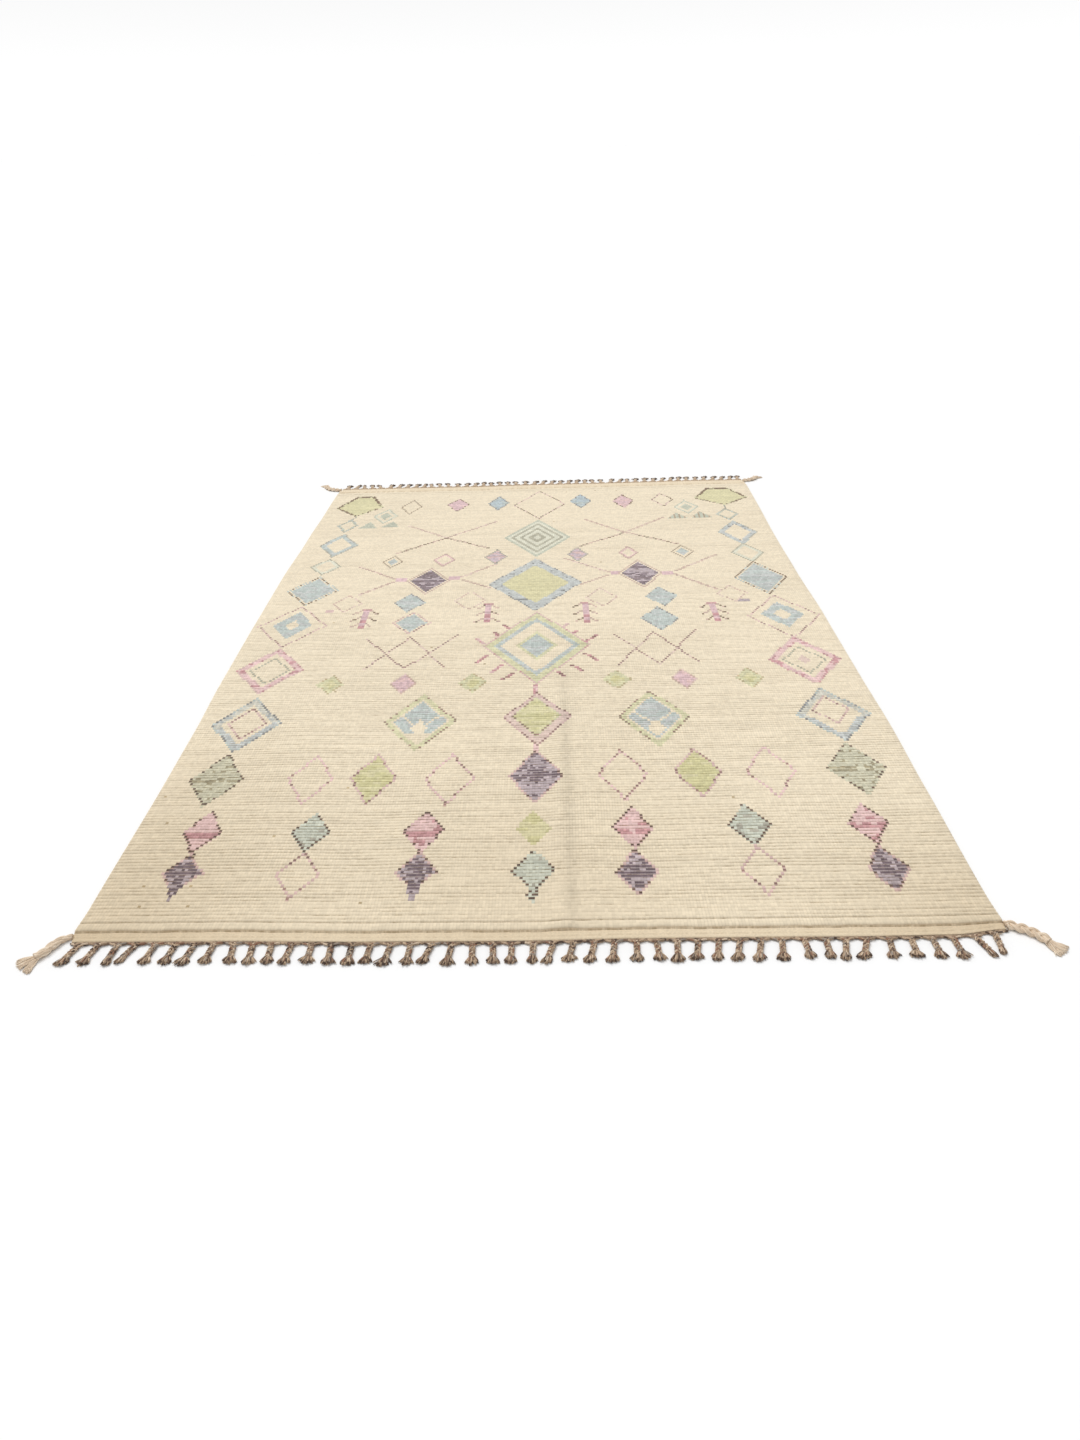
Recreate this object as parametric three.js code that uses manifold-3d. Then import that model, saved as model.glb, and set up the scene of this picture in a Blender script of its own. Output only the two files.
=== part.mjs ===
import * as THREE from 'three';
import { mergeVertices } from 'three/addons/utils/BufferGeometryUtils.js';
import Module from 'manifold-3d';

// A hand-knotted wool rug lying flat: pile field, flat-woven ends, tasselled fringes and corner plaits.
// Millimetres, +Z up, origin on the floor under the middle of the rug, -Y towards the near end.

const wasm = await Module();
wasm.setup();

// Size of the woven rug, without fringes and plaits
const WIDTH = 2000;
const LENGTH = 3020;
const PILE_TOP = 10;
const WEAVE_TOP = 4;
const PIECE_GAP = 0.4;

// How far each long edge lies outside its straight line, by place along the rug
const SIDE_SWAY = [
  { y: -1500, left: 4, right: 0 },
  { y: -1400, left: -1, right: -4 },
  { y: -1000, left: -4, right: 1 },
  { y: -700, left: -2, right: 6 },
  { y: -400, left: 5, right: 3 },
  { y: 0, left: 8, right: 2 },
  { y: 400, left: 8, right: -7 },
  { y: 800, left: -3, right: -9 },
  { y: 1200, left: -12, right: -5 },
  { y: 1450, left: -17, right: -4 },
];

// How far each woven end lies outside its straight line, by place across the rug
const END_SWAY = [
  { x: -950, near: -9, far: -14 },
  { x: -700, near: -7, far: -11 },
  { x: -350, near: 1, far: -12 },
  { x: -50, near: 4, far: -1 },
  { x: 200, near: 1, far: 0 },
  { x: 500, near: 2, far: 6 },
  { x: 780, near: 4, far: 13 },
  { x: 950, near: 2, far: 11 },
];

// How wide the flat weave is at each end, and its rows from the woven edge inwards
// The cut column is the share of the corner that a plait has gathered in
const WEAVE_WIDTH = { near: 29, far: 73 };
const GATHERED_ROW = 2;
const WEAVE_ROWS = [
  { from: 0, top: 0.75 * WEAVE_TOP, cut: 1 },
  { from: 3, top: WEAVE_TOP, cut: 0.9 },
  { from: 29, top: WEAVE_TOP, cut: 0 },
];

// Rows inwards from where the pile begins: its rounded edge, then the groove behind its first rows
const PILE_ROWS = [
  { from: 0, top: WEAVE_TOP, cut: 0 },
  { from: 1.5, top: 0.74 * PILE_TOP, cut: 0 },
  { from: 5, top: 0.96 * PILE_TOP, cut: 0 },
  { from: 11, top: PILE_TOP, cut: 0 },
  { from: 33, top: PILE_TOP, cut: 0 },
  { from: 35, top: 0.82 * PILE_TOP, cut: 0 },
  { from: 37, top: PILE_TOP, cut: 0 },
];
const FIELD_ROWS = 14;

// Columns from a long edge inwards, which round the edge over
const SIDE_COLUMNS = [
  { inset: 0, share: 0.45 },
  { inset: 1.3, share: 0.8 },
  { inset: 5, share: 1 },
];
const FIELD_COLUMNS = 12;

// Where the plaits draw the woven end inwards: how far from the corner and from the end, and columns there
const GATHER = { across: 110, along: 62, insets: [36, 73, 110] };

// The soft ridge left by a lengthwise fold, and the gentle waves of the field
const CREASE = { x: 65, halfWidth: 24, rise: 2.2, fadeFrom: -420, fadeTo: -120 };
const WAVE = { rise: 0.7, across: 760, along: 980 };

// The twined strip outside each woven end, which the tassels hang from
const STRIP = { depth: 7, edgeTop: 3.4, middleTop: 5 };

// Sections of a tassel, from inside the strip out to its cut end
const TASSEL_SECTIONS = [
  { out: -3, width: 26, top: 4 },
  { out: 4, width: 18, top: 6 },
  { out: 12, width: 13.5, top: 7.6 },
  { out: 34, width: 13.5, top: 7.8 },
  { out: 41, width: 22, top: 9.4 },
  { out: 50, width: 28, top: 9 },
  { out: 57, width: 23, top: 5.6 },
];
const TASSEL_CROWN = 0.58;
const TASSEL_ROOM = 1.5;
const TASSEL_JITTER = { root: 3, lean: 5, length: 0.14 };
const HASH = { perIndex: 12.9898, perSeed: 78.233, gain: 43758.5453 };

// Each fringe: its tassels from the left to the right, how far those in the middle lie off their even places,
// and how far the ends drift sideways
const FRINGES = [
  {
    name: 'fringe_near',
    end: 'near',
    count: 46,
    first: -976,
    last: 968,
    bow: -22,
    seed: 1,
    drift: [
      { x: -976, lean: -24 },
      { x: -890, lean: -6 },
      { x: -846, lean: -26 },
      { x: -800, lean: -12 },
      { x: -700, lean: -14 },
      { x: -630, lean: 2 },
      { x: -540, lean: 0 },
      { x: -500, lean: -9 },
      { x: -420, lean: 0 },
      { x: -285, lean: -12 },
      { x: -240, lean: -7 },
      { x: -200, lean: -20 },
      { x: -110, lean: 3 },
      { x: 18, lean: 0 },
      { x: 62, lean: -18 },
      { x: 147, lean: -14 },
      { x: 277, lean: 3 },
      { x: 363, lean: -13 },
      { x: 493, lean: -18 },
      { x: 579, lean: 5 },
      { x: 709, lean: -22 },
      { x: 752, lean: -6 },
      { x: 880, lean: 4 },
      { x: 925, lean: 22 },
      { x: 968, lean: -4 },
    ],
  },
  {
    name: 'fringe_far',
    end: 'far',
    count: 47,
    first: -950,
    last: 966,
    bow: 0,
    seed: 2,
    drift: [
      { x: -950, lean: 8 },
      { x: -905, lean: 16 },
      { x: -860, lean: -8 },
      { x: -775, lean: -20 },
      { x: -730, lean: 16 },
      { x: -600, lean: 14 },
      { x: -490, lean: -17 },
      { x: -360, lean: 12 },
      { x: -230, lean: 0 },
      { x: -108, lean: -10 },
      { x: -30, lean: 18 },
      { x: 180, lean: 12 },
      { x: 260, lean: -8 },
      { x: 385, lean: 24 },
      { x: 435, lean: 4 },
      { x: 640, lean: 22 },
      { x: 715, lean: 8 },
      { x: 895, lean: 24 },
      { x: 966, lean: 10 },
    ],
  },
];

// The four plaits: how far each draws the woven corner in across and along, and its centreline past the root
const PLAITS = [
  {
    name: 'plait_near_left',
    end: 'near',
    side: 'left',
    cut: 6,
    pull: 0,
    tuftWidth: 62,
    path: [
      { x: -1019, y: -1495 },
      { x: -1031, y: -1512 },
      { x: -1041, y: -1531 },
      { x: -1054, y: -1546 },
    ],
  },
  {
    name: 'plait_near_right',
    end: 'near',
    side: 'right',
    cut: 0,
    pull: 13,
    tuftWidth: 46,
    path: [
      { x: 1016, y: -1494 },
      { x: 1037, y: -1504 },
      { x: 1056, y: -1520 },
      { x: 1069, y: -1537 },
    ],
  },
  {
    name: 'plait_far_left',
    end: 'far',
    side: 'left',
    cut: 12,
    pull: 0,
    tuftWidth: 40,
    path: [
      { x: -1010, y: 1491 },
      { x: -1033, y: 1502 },
      { x: -1049, y: 1520 },
      { x: -1060, y: 1541 },
    ],
  },
  {
    name: 'plait_far_right',
    end: 'far',
    side: 'right',
    cut: 10,
    pull: 0,
    tuftWidth: 50,
    path: [
      { x: 1010, y: 1512 },
      { x: 1030, y: 1519 },
      { x: 1046, y: 1532 },
      { x: 1058, y: 1548 },
    ],
  },
];

// Three strands cross over each other once in each third of the turn
const PLAIT = { strands: 3, turn: 64, swing: 7.4, lift: 2.2, radius: 4.8, lead: 4, steps: 16, points: 6 };

// Sections of the open end of a plait, which fans out from its neck
const TUFT_NECK = 20;
const TUFT_LENGTH = 38;
const TUFT_SECTIONS = [
  { out: 4, top: 10 },
  { out: 0.5 * TUFT_LENGTH, top: 11 },
  { out: TUFT_LENGTH, top: 5 },
];
const TUFT_RIM = 0.55;

// Smooth step from one row of a table to the next
function tableValue(table, key, column, at) {
  const next = table.findIndex((row) => row[key] >= at);
  if (next === 0) {
    return table[0][column];
  }
  if (next < 0) {
    return table[table.length - 1][column];
  }
  const low = table[next - 1];
  const high = table[next];
  const t = (at - low[key]) / (high[key] - low[key]);
  return low[column] + (high[column] - low[column]) * t * t * (3 - 2 * t);
}

// A repeatable number from -0.5 to 0.5
function jitter(index, seed) {
  const wave = Math.sin(index * HASH.perIndex + seed * HASH.perSeed) * HASH.gain;
  return wave - Math.floor(wave) - 0.5;
}

// Outline of the woven rug
function endY(end, x) {
  const sway = tableValue(END_SWAY, 'x', end, x);
  return (end === 'near' ? -1 : 1) * (LENGTH / 2 + sway);
}

function sideX(side, y) {
  const sway = tableValue(SIDE_SWAY, 'y', side, y);
  return (side === 'left' ? -1 : 1) * (WIDTH / 2 + sway);
}

function plaitAt(end, side) {
  return PLAITS.find((plait) => plait.end === end && plait.side === side);
}

// How far inwards the plait at the corner draws a place that lies some way in from the woven end
function drawnIn(end, x, from) {
  const { pull } = plaitAt(end, x < 0 ? 'left' : 'right');
  const near = THREE.MathUtils.smoothstep(Math.abs(x), WIDTH / 2 - GATHER.across, WIDTH / 2);
  return pull * near * Math.max(0, 1 - from / GATHER.along);
}

// A closed body from points and faces, turned so that its faces point out
function closedBody(points, faces) {
  const volume = faces.reduce((sum, [a, b, c]) => {
    const normal = new THREE.Vector3().crossVectors(points[b], points[c]);
    return sum + points[a].dot(normal);
  }, 0);
  const outward = volume > 0 ? faces : faces.map(([a, b, c]) => [a, c, b]);
  const geometry = new THREE.BufferGeometry().setFromPoints(points);
  geometry.setIndex(outward.flat());
  return geometry;
}

// Rings of equal count joined into one body, each end closed by faces across the ring
function loft(rings) {
  const count = rings[0].length;
  const faces = [];
  for (let ring = 0; ring + 1 < rings.length; ring += 1) {
    for (let i = 0; i < count; i += 1) {
      const here = ring * count + i;
      const beside = ring * count + ((i + 1) % count);
      faces.push([here, beside, beside + count], [here, beside + count, here + count]);
    }
  }
  const last = (rings.length - 1) * count;
  for (let low = 0; 2 * low <= count - 3; low += 1) {
    const high = count - 1 - low;
    faces.push([low, high, low + 1], [last + low, last + low + 1, last + high]);
    if (low + 1 < high - 1) {
      faces.push([low + 1, high, high - 1], [last + low + 1, last + high - 1, last + high]);
    }
  }
  return closedBody(rings.flat(), faces);
}

// A slab with a shaped top over a flat underside, from rows of top points
function slab(rows) {
  const columns = rows[0].length;
  const top = rows.flat();
  const bottom = top.map((point) => new THREE.Vector3(point.x, point.y, 0));
  const faces = [];
  const under = top.length;
  const wall = (a, b) => faces.push([a, b, b + under], [a, b + under, a + under]);
  for (let row = 0; row + 1 < rows.length; row += 1) {
    for (let column = 0; column + 1 < columns; column += 1) {
      const a = row * columns + column;
      const [b, c, d] = [a + 1, a + 1 + columns, a + columns];
      faces.push([a, b, c], [a, c, d]);
      faces.push([a + under, c + under, b + under], [a + under, d + under, c + under]);
    }
    wall(row * columns, (row + 1) * columns);
    wall((row + 2) * columns - 1, (row + 1) * columns - 1);
  }
  for (let column = 0; column + 1 < columns; column += 1) {
    wall(column + 1, column);
    wall(top.length - columns + column, top.length - columns + column + 1);
  }
  return closedBody([...top, ...bottom], faces);
}

// Bodies that overlap joined into one
function fuse(geometries) {
  const solids = geometries.map((geometry) => {
    const merged = mergeVertices(geometry);
    const mesh = new wasm.Mesh({
      numProp: 3,
      vertProperties: merged.getAttribute('position').array,
      triVerts: new Uint32Array(merged.getIndex().array),
    });
    return new wasm.Manifold(mesh);
  });
  const joined = solids.reduce((sum, solid) => sum.add(solid)).getMesh();
  const geometry = new THREE.BufferGeometry();
  geometry.setAttribute('position', new THREE.BufferAttribute(joined.vertProperties, 3));
  geometry.setIndex(new THREE.BufferAttribute(joined.triVerts, 1));
  return geometry;
}

// Places across the rug as shares of its inner width, closer together over the crease and at the corners
function fieldShares() {
  const even = Array.from({ length: FIELD_COLUMNS + 1 }, (_, i) => i / FIELD_COLUMNS);
  const crease = [-1, 0, 1].map((step) => 0.5 + (CREASE.x + step * CREASE.halfWidth) / WIDTH);
  const close = 0.5 / FIELD_COLUMNS;
  const apart = even.filter((share) => crease.every((place) => Math.abs(share - place) > close / 2));
  const corners = GATHER.insets.flatMap((inset) => [inset / WIDTH, 1 - inset / WIDTH]);
  return [...apart, ...crease, ...corners].sort((a, b) => a - b);
}

function unevenness(x, y) {
  const reach = THREE.MathUtils.smoothstep(-y, -CREASE.fadeTo, -CREASE.fadeFrom);
  const ridge = Math.exp(-(((x - CREASE.x) / CREASE.halfWidth) ** 2));
  const wave = Math.sin((2 * Math.PI * x) / WAVE.across) * Math.sin((2 * Math.PI * y) / WAVE.along);
  return CREASE.rise * reach * ridge + WAVE.rise * wave;
}

// One row of top points across the rug, where place gives y for each x
function rugRow(place, top, leftCut, rightCut) {
  const edgeY = (side) => place((side * WIDTH) / 2);
  const left = sideX('left', edgeY(-1)) + leftCut;
  const right = sideX('right', edgeY(1)) - rightCut;
  const rim = SIDE_COLUMNS[SIDE_COLUMNS.length - 1].inset;
  const across = [
    ...SIDE_COLUMNS.slice(0, -1).map(({ inset, share }) => ({ x: left + inset, share })),
    ...fieldShares().map((share) => ({ x: left + rim + share * (right - left - 2 * rim), share: 1 })),
    ...SIDE_COLUMNS.slice(0, -1).reverse().map(({ inset, share }) => ({ x: right - inset, share })),
  ];
  const pile = top >= PILE_TOP ? 1 : 0;
  return across.map(({ x, share }) => {
    const y = place(x);
    return new THREE.Vector3(x, y, share * (top + pile * unevenness(x, y)));
  });
}

function endRow(end, { from, top, cut }) {
  const inward = end === 'near' ? 1 : -1;
  const place = (x) => endY(end, x) + inward * (from + drawnIn(end, x, from));
  return rugRow(place, top, cut * plaitAt(end, 'left').cut, cut * plaitAt(end, 'right').cut);
}

// All rows of one end, from its woven edge inwards
function endRows(end) {
  const width = WEAVE_WIDTH[end];
  const woven = WEAVE_ROWS.filter(({ from }) => from < width);
  return [...woven, ...PILE_ROWS.map((row) => ({ ...row, from: width + row.from }))];
}

function rugGeometry() {
  const deepest = PILE_ROWS[PILE_ROWS.length - 1].from;
  const nearRows = endRows('near').map((row) => endRow('near', row));
  const farRows = endRows('far').map((row) => endRow('far', row)).reverse();
  const fieldRows = [];
  for (let i = 1; i < FIELD_ROWS; i += 1) {
    const share = i / FIELD_ROWS;
    const near = (x) => endY('near', x) + WEAVE_WIDTH.near + deepest;
    const far = (x) => endY('far', x) - WEAVE_WIDTH.far - deepest;
    const place = (x) => THREE.MathUtils.lerp(near(x), far(x), share);
    fieldRows.push(rugRow(place, PILE_TOP, 0, 0));
  }
  return slab([...nearRows, ...fieldRows, ...farRows]);
}

// The strip follows the woven end a gap away, one section at each column of the rug
function stripGeometry(end) {
  const outward = end === 'near' ? -1 : 1;
  const section = [
    { out: 0, z: 0 },
    { out: STRIP.depth, z: 0 },
    { out: STRIP.depth, z: STRIP.edgeTop },
    { out: STRIP.depth / 2, z: STRIP.middleTop },
    { out: 0, z: STRIP.edgeTop },
  ];
  const rings = endRow(end, WEAVE_ROWS[0]).map((edge) =>
    section.map(({ out, z }) => new THREE.Vector3(edge.x, edge.y + outward * (PIECE_GAP + out), z)),
  );
  return loft(rings);
}

// Root and end places of the tassels, and the width that each cut end has room for
function tasselPlaces({ count, first, last, bow, seed, drift }) {
  const places = [];
  for (let i = 0; i < count; i += 1) {
    const share = i / (count - 1);
    const evenly = THREE.MathUtils.lerp(first, last, share);
    const bowed = evenly + bow * 4 * share * (1 - share);
    const root = bowed + (i > 0 && i < count - 1 ? TASSEL_JITTER.root * jitter(i, seed) : 0);
    const lean = tableValue(drift, 'x', 'lean', evenly) + TASSEL_JITTER.lean * jitter(i, seed + 10);
    const stretch = 1 + TASSEL_JITTER.length * jitter(i, seed + 20);
    places.push({ root, tip: root + lean, stretch });
  }
  return places.map((place, i) => {
    const before = i > 0 ? place.tip - places[i - 1].tip : Infinity;
    const after = i < count - 1 ? places[i + 1].tip - place.tip : Infinity;
    return { ...place, room: Math.min(before, after) - TASSEL_ROOM };
  });
}

// A four-sided lock that rests on the floor: twisted neck, then a tuft
function tasselGeometry(end, { root, tip, stretch, room }) {
  const outward = end === 'near' ? -1 : 1;
  const edge = endY(end, root) + outward * (PIECE_GAP + STRIP.depth - drawnIn(end, root, 0));
  const reach = TASSEL_SECTIONS[TASSEL_SECTIONS.length - 1].out;
  const rings = TASSEL_SECTIONS.map(({ out, width, top }) => {
    const share = Math.max(out, 0) / reach;
    const x = THREE.MathUtils.lerp(root, tip, share);
    const y = edge + outward * (out > 0 ? out * stretch : out);
    const half = Math.min(width, THREE.MathUtils.lerp(width, room, share)) / 2;
    return [
      new THREE.Vector3(x - half, y, 0),
      new THREE.Vector3(x + half, y, 0),
      new THREE.Vector3(x + half * TASSEL_CROWN, y, top),
      new THREE.Vector3(x - half * TASSEL_CROWN, y, top),
    ];
  });
  return loft(rings);
}

function fringeGeometry(fringe) {
  const tassels = tasselPlaces(fringe).map((place) => tasselGeometry(fringe.end, place));
  return fuse([stripGeometry(fringe.end), ...tassels]);
}

// Where a plait leaves the gathered corner: the middle of the slanting edge, and the way out of it
function plaitRoot(end, side) {
  const corner = (row) => {
    const line = endRow(end, row);
    return side === 'left' ? line[0] : line[line.length - 1];
  };
  const rows = endRows(end);
  const outer = corner(rows[0]);
  const inner = corner(rows[GATHERED_ROW]);
  const middle = new THREE.Vector3((outer.x + inner.x) / 2, (outer.y + inner.y) / 2, 0);
  const way = new THREE.Vector3(outer.y - inner.y, inner.x - outer.x, 0).normalize();
  const outwards = side === 'left' ? -1 : 1;
  return { middle, way: way.multiplyScalar(Math.sign(way.x) * outwards) };
}

// Centreline of a plait on the floor, straight for its first stretch
function plaitCurve({ end, side, path }) {
  const { middle, way } = plaitRoot(end, side);
  const start = middle.clone().addScaledVector(way, PIECE_GAP);
  const lead = middle.clone().addScaledVector(way, PLAIT.lead);
  const rest = path.map(({ x, y }) => new THREE.Vector3(x, y, 0));
  return { way, curve: new THREE.CatmullRomCurve3([start, lead, ...rest], false, 'centripetal') };
}

// A section that rests on the floor, from places across it and the height over each
function floorSection(places) {
  const under = places.map(({ at }) => at.clone().setZ(0));
  const over = places.map(({ at, top }) => at.clone().setZ(top)).reverse();
  return [...under, ...over];
}

// A section of a plait: flat under it, and over it the outline of strands that swing and cross
function plaitRing({ way, curve }, share) {
  const strands = Array.from({ length: PLAIT.strands }, (_, strand) => {
    const phase = 2 * Math.PI * ((share * curve.getLength()) / PLAIT.turn + strand / PLAIT.strands);
    const height = PLAIT.radius + PLAIT.lift * (1 + Math.sin(2 * phase));
    return { across: PLAIT.swing * Math.sin(phase), height };
  });
  const left = Math.min(...strands.map(({ across }) => across)) - PLAIT.radius;
  const right = Math.max(...strands.map(({ across }) => across)) + PLAIT.radius;
  const crown = (across) => {
    const tops = strands.map((strand) => {
      const chord = PLAIT.radius ** 2 - (across - strand.across) ** 2;
      return chord < 0 ? PLAIT.radius : strand.height + Math.sqrt(chord);
    });
    return Math.max(...tops);
  };
  const forward = share === 0 ? way : curve.getTangentAt(share);
  const sideways = new THREE.Vector3(-forward.y, forward.x, 0);
  const middle = curve.getPointAt(share);
  const places = Array.from({ length: PLAIT.points }, (_, i) => {
    const across = THREE.MathUtils.lerp(left, right, i / (PLAIT.points - 1));
    return { at: middle.clone().addScaledVector(sideways, across), top: crown(across) };
  });
  return floorSection(places);
}

// A section of the open end, on an arc about the place that its yarns spread from
function tuftRing({ curve }, tuftWidth, { out, top }) {
  const fan = Math.asin((tuftWidth - TUFT_NECK) / 2 / TUFT_LENGTH);
  const behind = TUFT_NECK / 2 / Math.sin(fan);
  const forward = curve.getTangentAt(1);
  const centre = curve.getPointAt(1).addScaledVector(forward, -behind);
  const places = Array.from({ length: PLAIT.points }, (_, i) => {
    const across = (2 * i) / (PLAIT.points - 1) - 1;
    const way = forward.clone().applyAxisAngle(new THREE.Vector3(0, 0, 1), across * fan);
    const crown = TUFT_RIM + (1 - TUFT_RIM) * (1 - across * across);
    return { at: centre.clone().addScaledVector(way, behind + out), top: top * crown };
  });
  return floorSection(places);
}

function plaitGeometry(plait) {
  const line = plaitCurve(plait);
  const rings = Array.from({ length: PLAIT.steps + 1 }, (_, step) => plaitRing(line, step / PLAIT.steps));
  const tuft = TUFT_SECTIONS.map((section) => tuftRing(line, plait.tuftWidth, section));
  return loft([...rings, ...tuft]);
}

// Materials
function wool(color) {
  return new THREE.MeshStandardMaterial({ color, roughness: 0.95, metalness: 0 });
}

const CREAM_PILE = '#e6dabd';
const BROWN_YARN = '#7d6a58';
const CREAM_YARN = '#d8cbb2';

function piece(name, geometry, color) {
  const mesh = new THREE.Mesh(geometry, wool(color));
  mesh.name = name;
  return mesh;
}

const group = new THREE.Group();
group.add(piece('rug', rugGeometry(), CREAM_PILE));
for (const fringe of FRINGES) {
  group.add(piece(fringe.name, fringeGeometry(fringe), BROWN_YARN));
}
for (const plait of PLAITS) {
  group.add(piece(plait.name, plaitGeometry(plait), CREAM_YARN));
}

export default group;
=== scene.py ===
import math
from collections import namedtuple

import bpy
import numpy as np
from mathutils import Matrix, Vector


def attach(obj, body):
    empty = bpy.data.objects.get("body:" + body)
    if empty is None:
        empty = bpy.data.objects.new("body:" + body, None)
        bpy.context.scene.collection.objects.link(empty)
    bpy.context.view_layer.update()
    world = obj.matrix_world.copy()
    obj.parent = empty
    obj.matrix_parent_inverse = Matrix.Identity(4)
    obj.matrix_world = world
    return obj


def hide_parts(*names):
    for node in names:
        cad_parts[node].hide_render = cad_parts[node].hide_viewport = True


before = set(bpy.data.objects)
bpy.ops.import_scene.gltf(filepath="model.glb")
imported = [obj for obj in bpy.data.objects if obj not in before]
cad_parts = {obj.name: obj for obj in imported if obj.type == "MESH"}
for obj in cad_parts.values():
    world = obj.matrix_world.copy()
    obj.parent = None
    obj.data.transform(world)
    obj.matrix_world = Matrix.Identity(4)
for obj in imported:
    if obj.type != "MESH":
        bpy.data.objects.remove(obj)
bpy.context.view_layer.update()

# A hand-knotted wool rug lying flat: knotted pile, flat-woven ends, tasselled fringes, corner plaits.
# Sizes are in metres unless a comment says otherwise. +X is across the rug, +Y towards its far end.
# Motifs are placed in centimetres from the middle of the rug.

MM = 0.001
CM = 0.01

# Camera, with the photograph's viewing angle
CAMERA = {"place": (0.048, -2.898, 1.438), "pitch": 32.45, "yaw": 1.05, "roll": -1.53}
LENS = 22.85
SENSOR = 36.0

# The woven rug, as in its solids
WIDTH = 2.000
LENGTH = 3.020
PILE_TOP = 0.010
PIECE_GAP = 0.4 * MM

# How far each edge lies outside its straight line, in mm, by place in mm
SIDE_SWAY = {
    "at": [-1500, -1400, -1000, -700, -400, 0, 400, 800, 1200, 1450],
    "left": [4, -1, -4, -2, 5, 8, 8, -3, -12, -17],
    "right": [0, -4, 1, 6, 3, 2, -7, -9, -5, -4],
}
END_SWAY = {
    "at": [-950, -700, -350, -50, 200, 500, 780, 950],
    "near": [-9, -7, 1, 4, 1, 2, 4, 2],
    "far": [-14, -11, -12, -1, 0, 6, 13, 11],
}

# How far each plait draws its corner in, in mm: across the rug and along it, and over what reach in metres
CORNER_CUT = {"near_left": 6, "near_right": 0, "far_left": 12, "far_right": 10}
CORNER_PULL = {"near_left": 0, "near_right": 13, "far_left": 0, "far_right": 0}
GATHER = {"across": 0.110, "along": 0.062}

# Lines along each flat-woven end, from its edge inwards: place, height, share of the corner cut, and how much
# painted shade darkens it
Line = namedtuple("Line", "inward top cut shade")
WEAVE_LINES = {
    "near": [
        Line(0.0, 0.0030, 1.0, 0.0),
        Line(0.003, 0.0040, 0.9, 0.0),
        Line(0.0078, 0.0044, 0.75, 0.0),
        Line(0.0112, 0.0039, 0.6, 0.22),
        Line(0.0160, 0.0045, 0.45, 0.0),
        Line(0.0200, 0.0041, 0.25, 0.08),
        Line(0.0240, 0.0045, 0.0, 0.0),
        Line(0.0262, 0.0032, 0.0, 0.55),
    ],
    "far": [
        Line(0.0, 0.0030, 1.0, 0.0),
        Line(0.003, 0.0040, 0.9, 0.0),
        Line(0.0110, 0.0044, 0.62, 0.05),
        Line(0.0200, 0.0041, 0.3, 0.08),
        Line(0.0290, 0.0044, 0.0, 0.0),
        Line(0.0430, 0.0042, 0.0, 0.22),
        Line(0.0580, 0.0045, 0.0, 0.34),
        Line(0.0704, 0.0032, 0.0, 0.60),
    ],
}
WEAVE_COUNT = len(WEAVE_LINES["near"])

# How far in the plaits gather the weave, where the pile starts, and the low first row there with its painted
# shade
GATHERED = 0.029
PILE_INSET = {"near": 0.0285, "far": 0.0727}
PILE_EDGE = {"drop": 0.0024, "shade": 0.30}

# How the seam between weave and pile wavers, how far into the weave, and how far into the pile it fades
SEAM = {
    "reach": 0.0105,
    "slow": 0.0024,
    "slow_step": 0.070,
    "fast": 0.0016,
    "fast_step": 0.019,
    "fade": 0.045,
}

# Knots across the rug, rows along it, and how many knots apart its points are on top and on the back
COLUMNS = 274
ROWS = 264
KNOT = WIDTH / COLUMNS
ROW = (LENGTH - PILE_INSET["near"] - PILE_INSET["far"]) / ROWS
BASE_STEP = 5
BACK_STEP = 34

# Share of the full height at each place in from a long edge, in knots
ROUNDING = [(0.0, 0.45), (0.18, 0.8), (0.68, 1.0)]

# The grooves between rows: their share of a row, and how deep they are
GROOVE_SHARE = 0.19
GROOVE = {"least": 0.0007, "swing": 0.0032, "gain": 1.7, "cut": 0.12}
GROOVE_ROW = {"least": 0.35, "swing": 0.85}

# Size of their deeper patches and length of their dashes, and how they weaken towards both ends
GROOVE_PATCH = {"across": 0.35, "along": 0.25}
GROOVE_DASH = 0.060
GROOVE_WEAK = {
    "far_share": 0.45,
    "far_from": -0.6,
    "far_over": 0.9,
    "end_share": 0.35,
    "end_from": -1.34,
    "end_over": 0.1,
}

# Depth at which a groove takes its full painted shade, and the most painted shade
GROOVE_FULL = 0.0030
GROOVE_DARKEST = 1.6

# The first rows at both ends: how many, their share of the grooves' depth, and the deeper groove behind them
BORDER_ROW = 2
BORDER_GROOVES = 0.25
BORDER_DEPTH = 0.0046

# The ridge left by a lengthwise fold with the painted shadow beside it, and the gentle waves of the field
CREASE = {"x": 0.065, "half": 0.024, "rise": 0.0022, "fade_from": -0.420, "fade_to": -0.120}
CREASE_SHADE = {"x": 0.080, "half": 0.024, "share": 0.14, "full": -0.60, "from": -0.15}
WAVE = {"rise": 0.0007, "across": 0.760, "along": 0.980}

# How far the rows wander: a slow drift, a quicker ripple, and a bend beside the crease
DRIFT = {"reach": 0.0030, "across": 0.22, "along": 0.30}
RIPPLE = {"reach": 0.0014, "across": 0.06, "along": 0.12}
WANDER_FADE = 0.08
BEND = {"x": 0.125, "half": 0.055, "reach": 0.0045, "from": -0.25, "full": -0.85}

# Small unevenness of stitches and of knots: height and length
STITCH = {"rise": 0.0006, "length": 0.009}
KNOT_LUMP = {"rise": 0.0005, "length": 0.021, "under": 0.0002}

# Starting numbers of the repeatable noises
SEED = {"drift": 21, "ripple": 22, "patch": 31, "dash": 32, "lump": 41, "stitch": 43, "row": 51, "stray": 77}


def clamp01(value):
    return np.clip(value, 0.0, 1.0)


def smooth(value):
    value = clamp01(value)
    return value * value * (3 - 2 * value)


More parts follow.
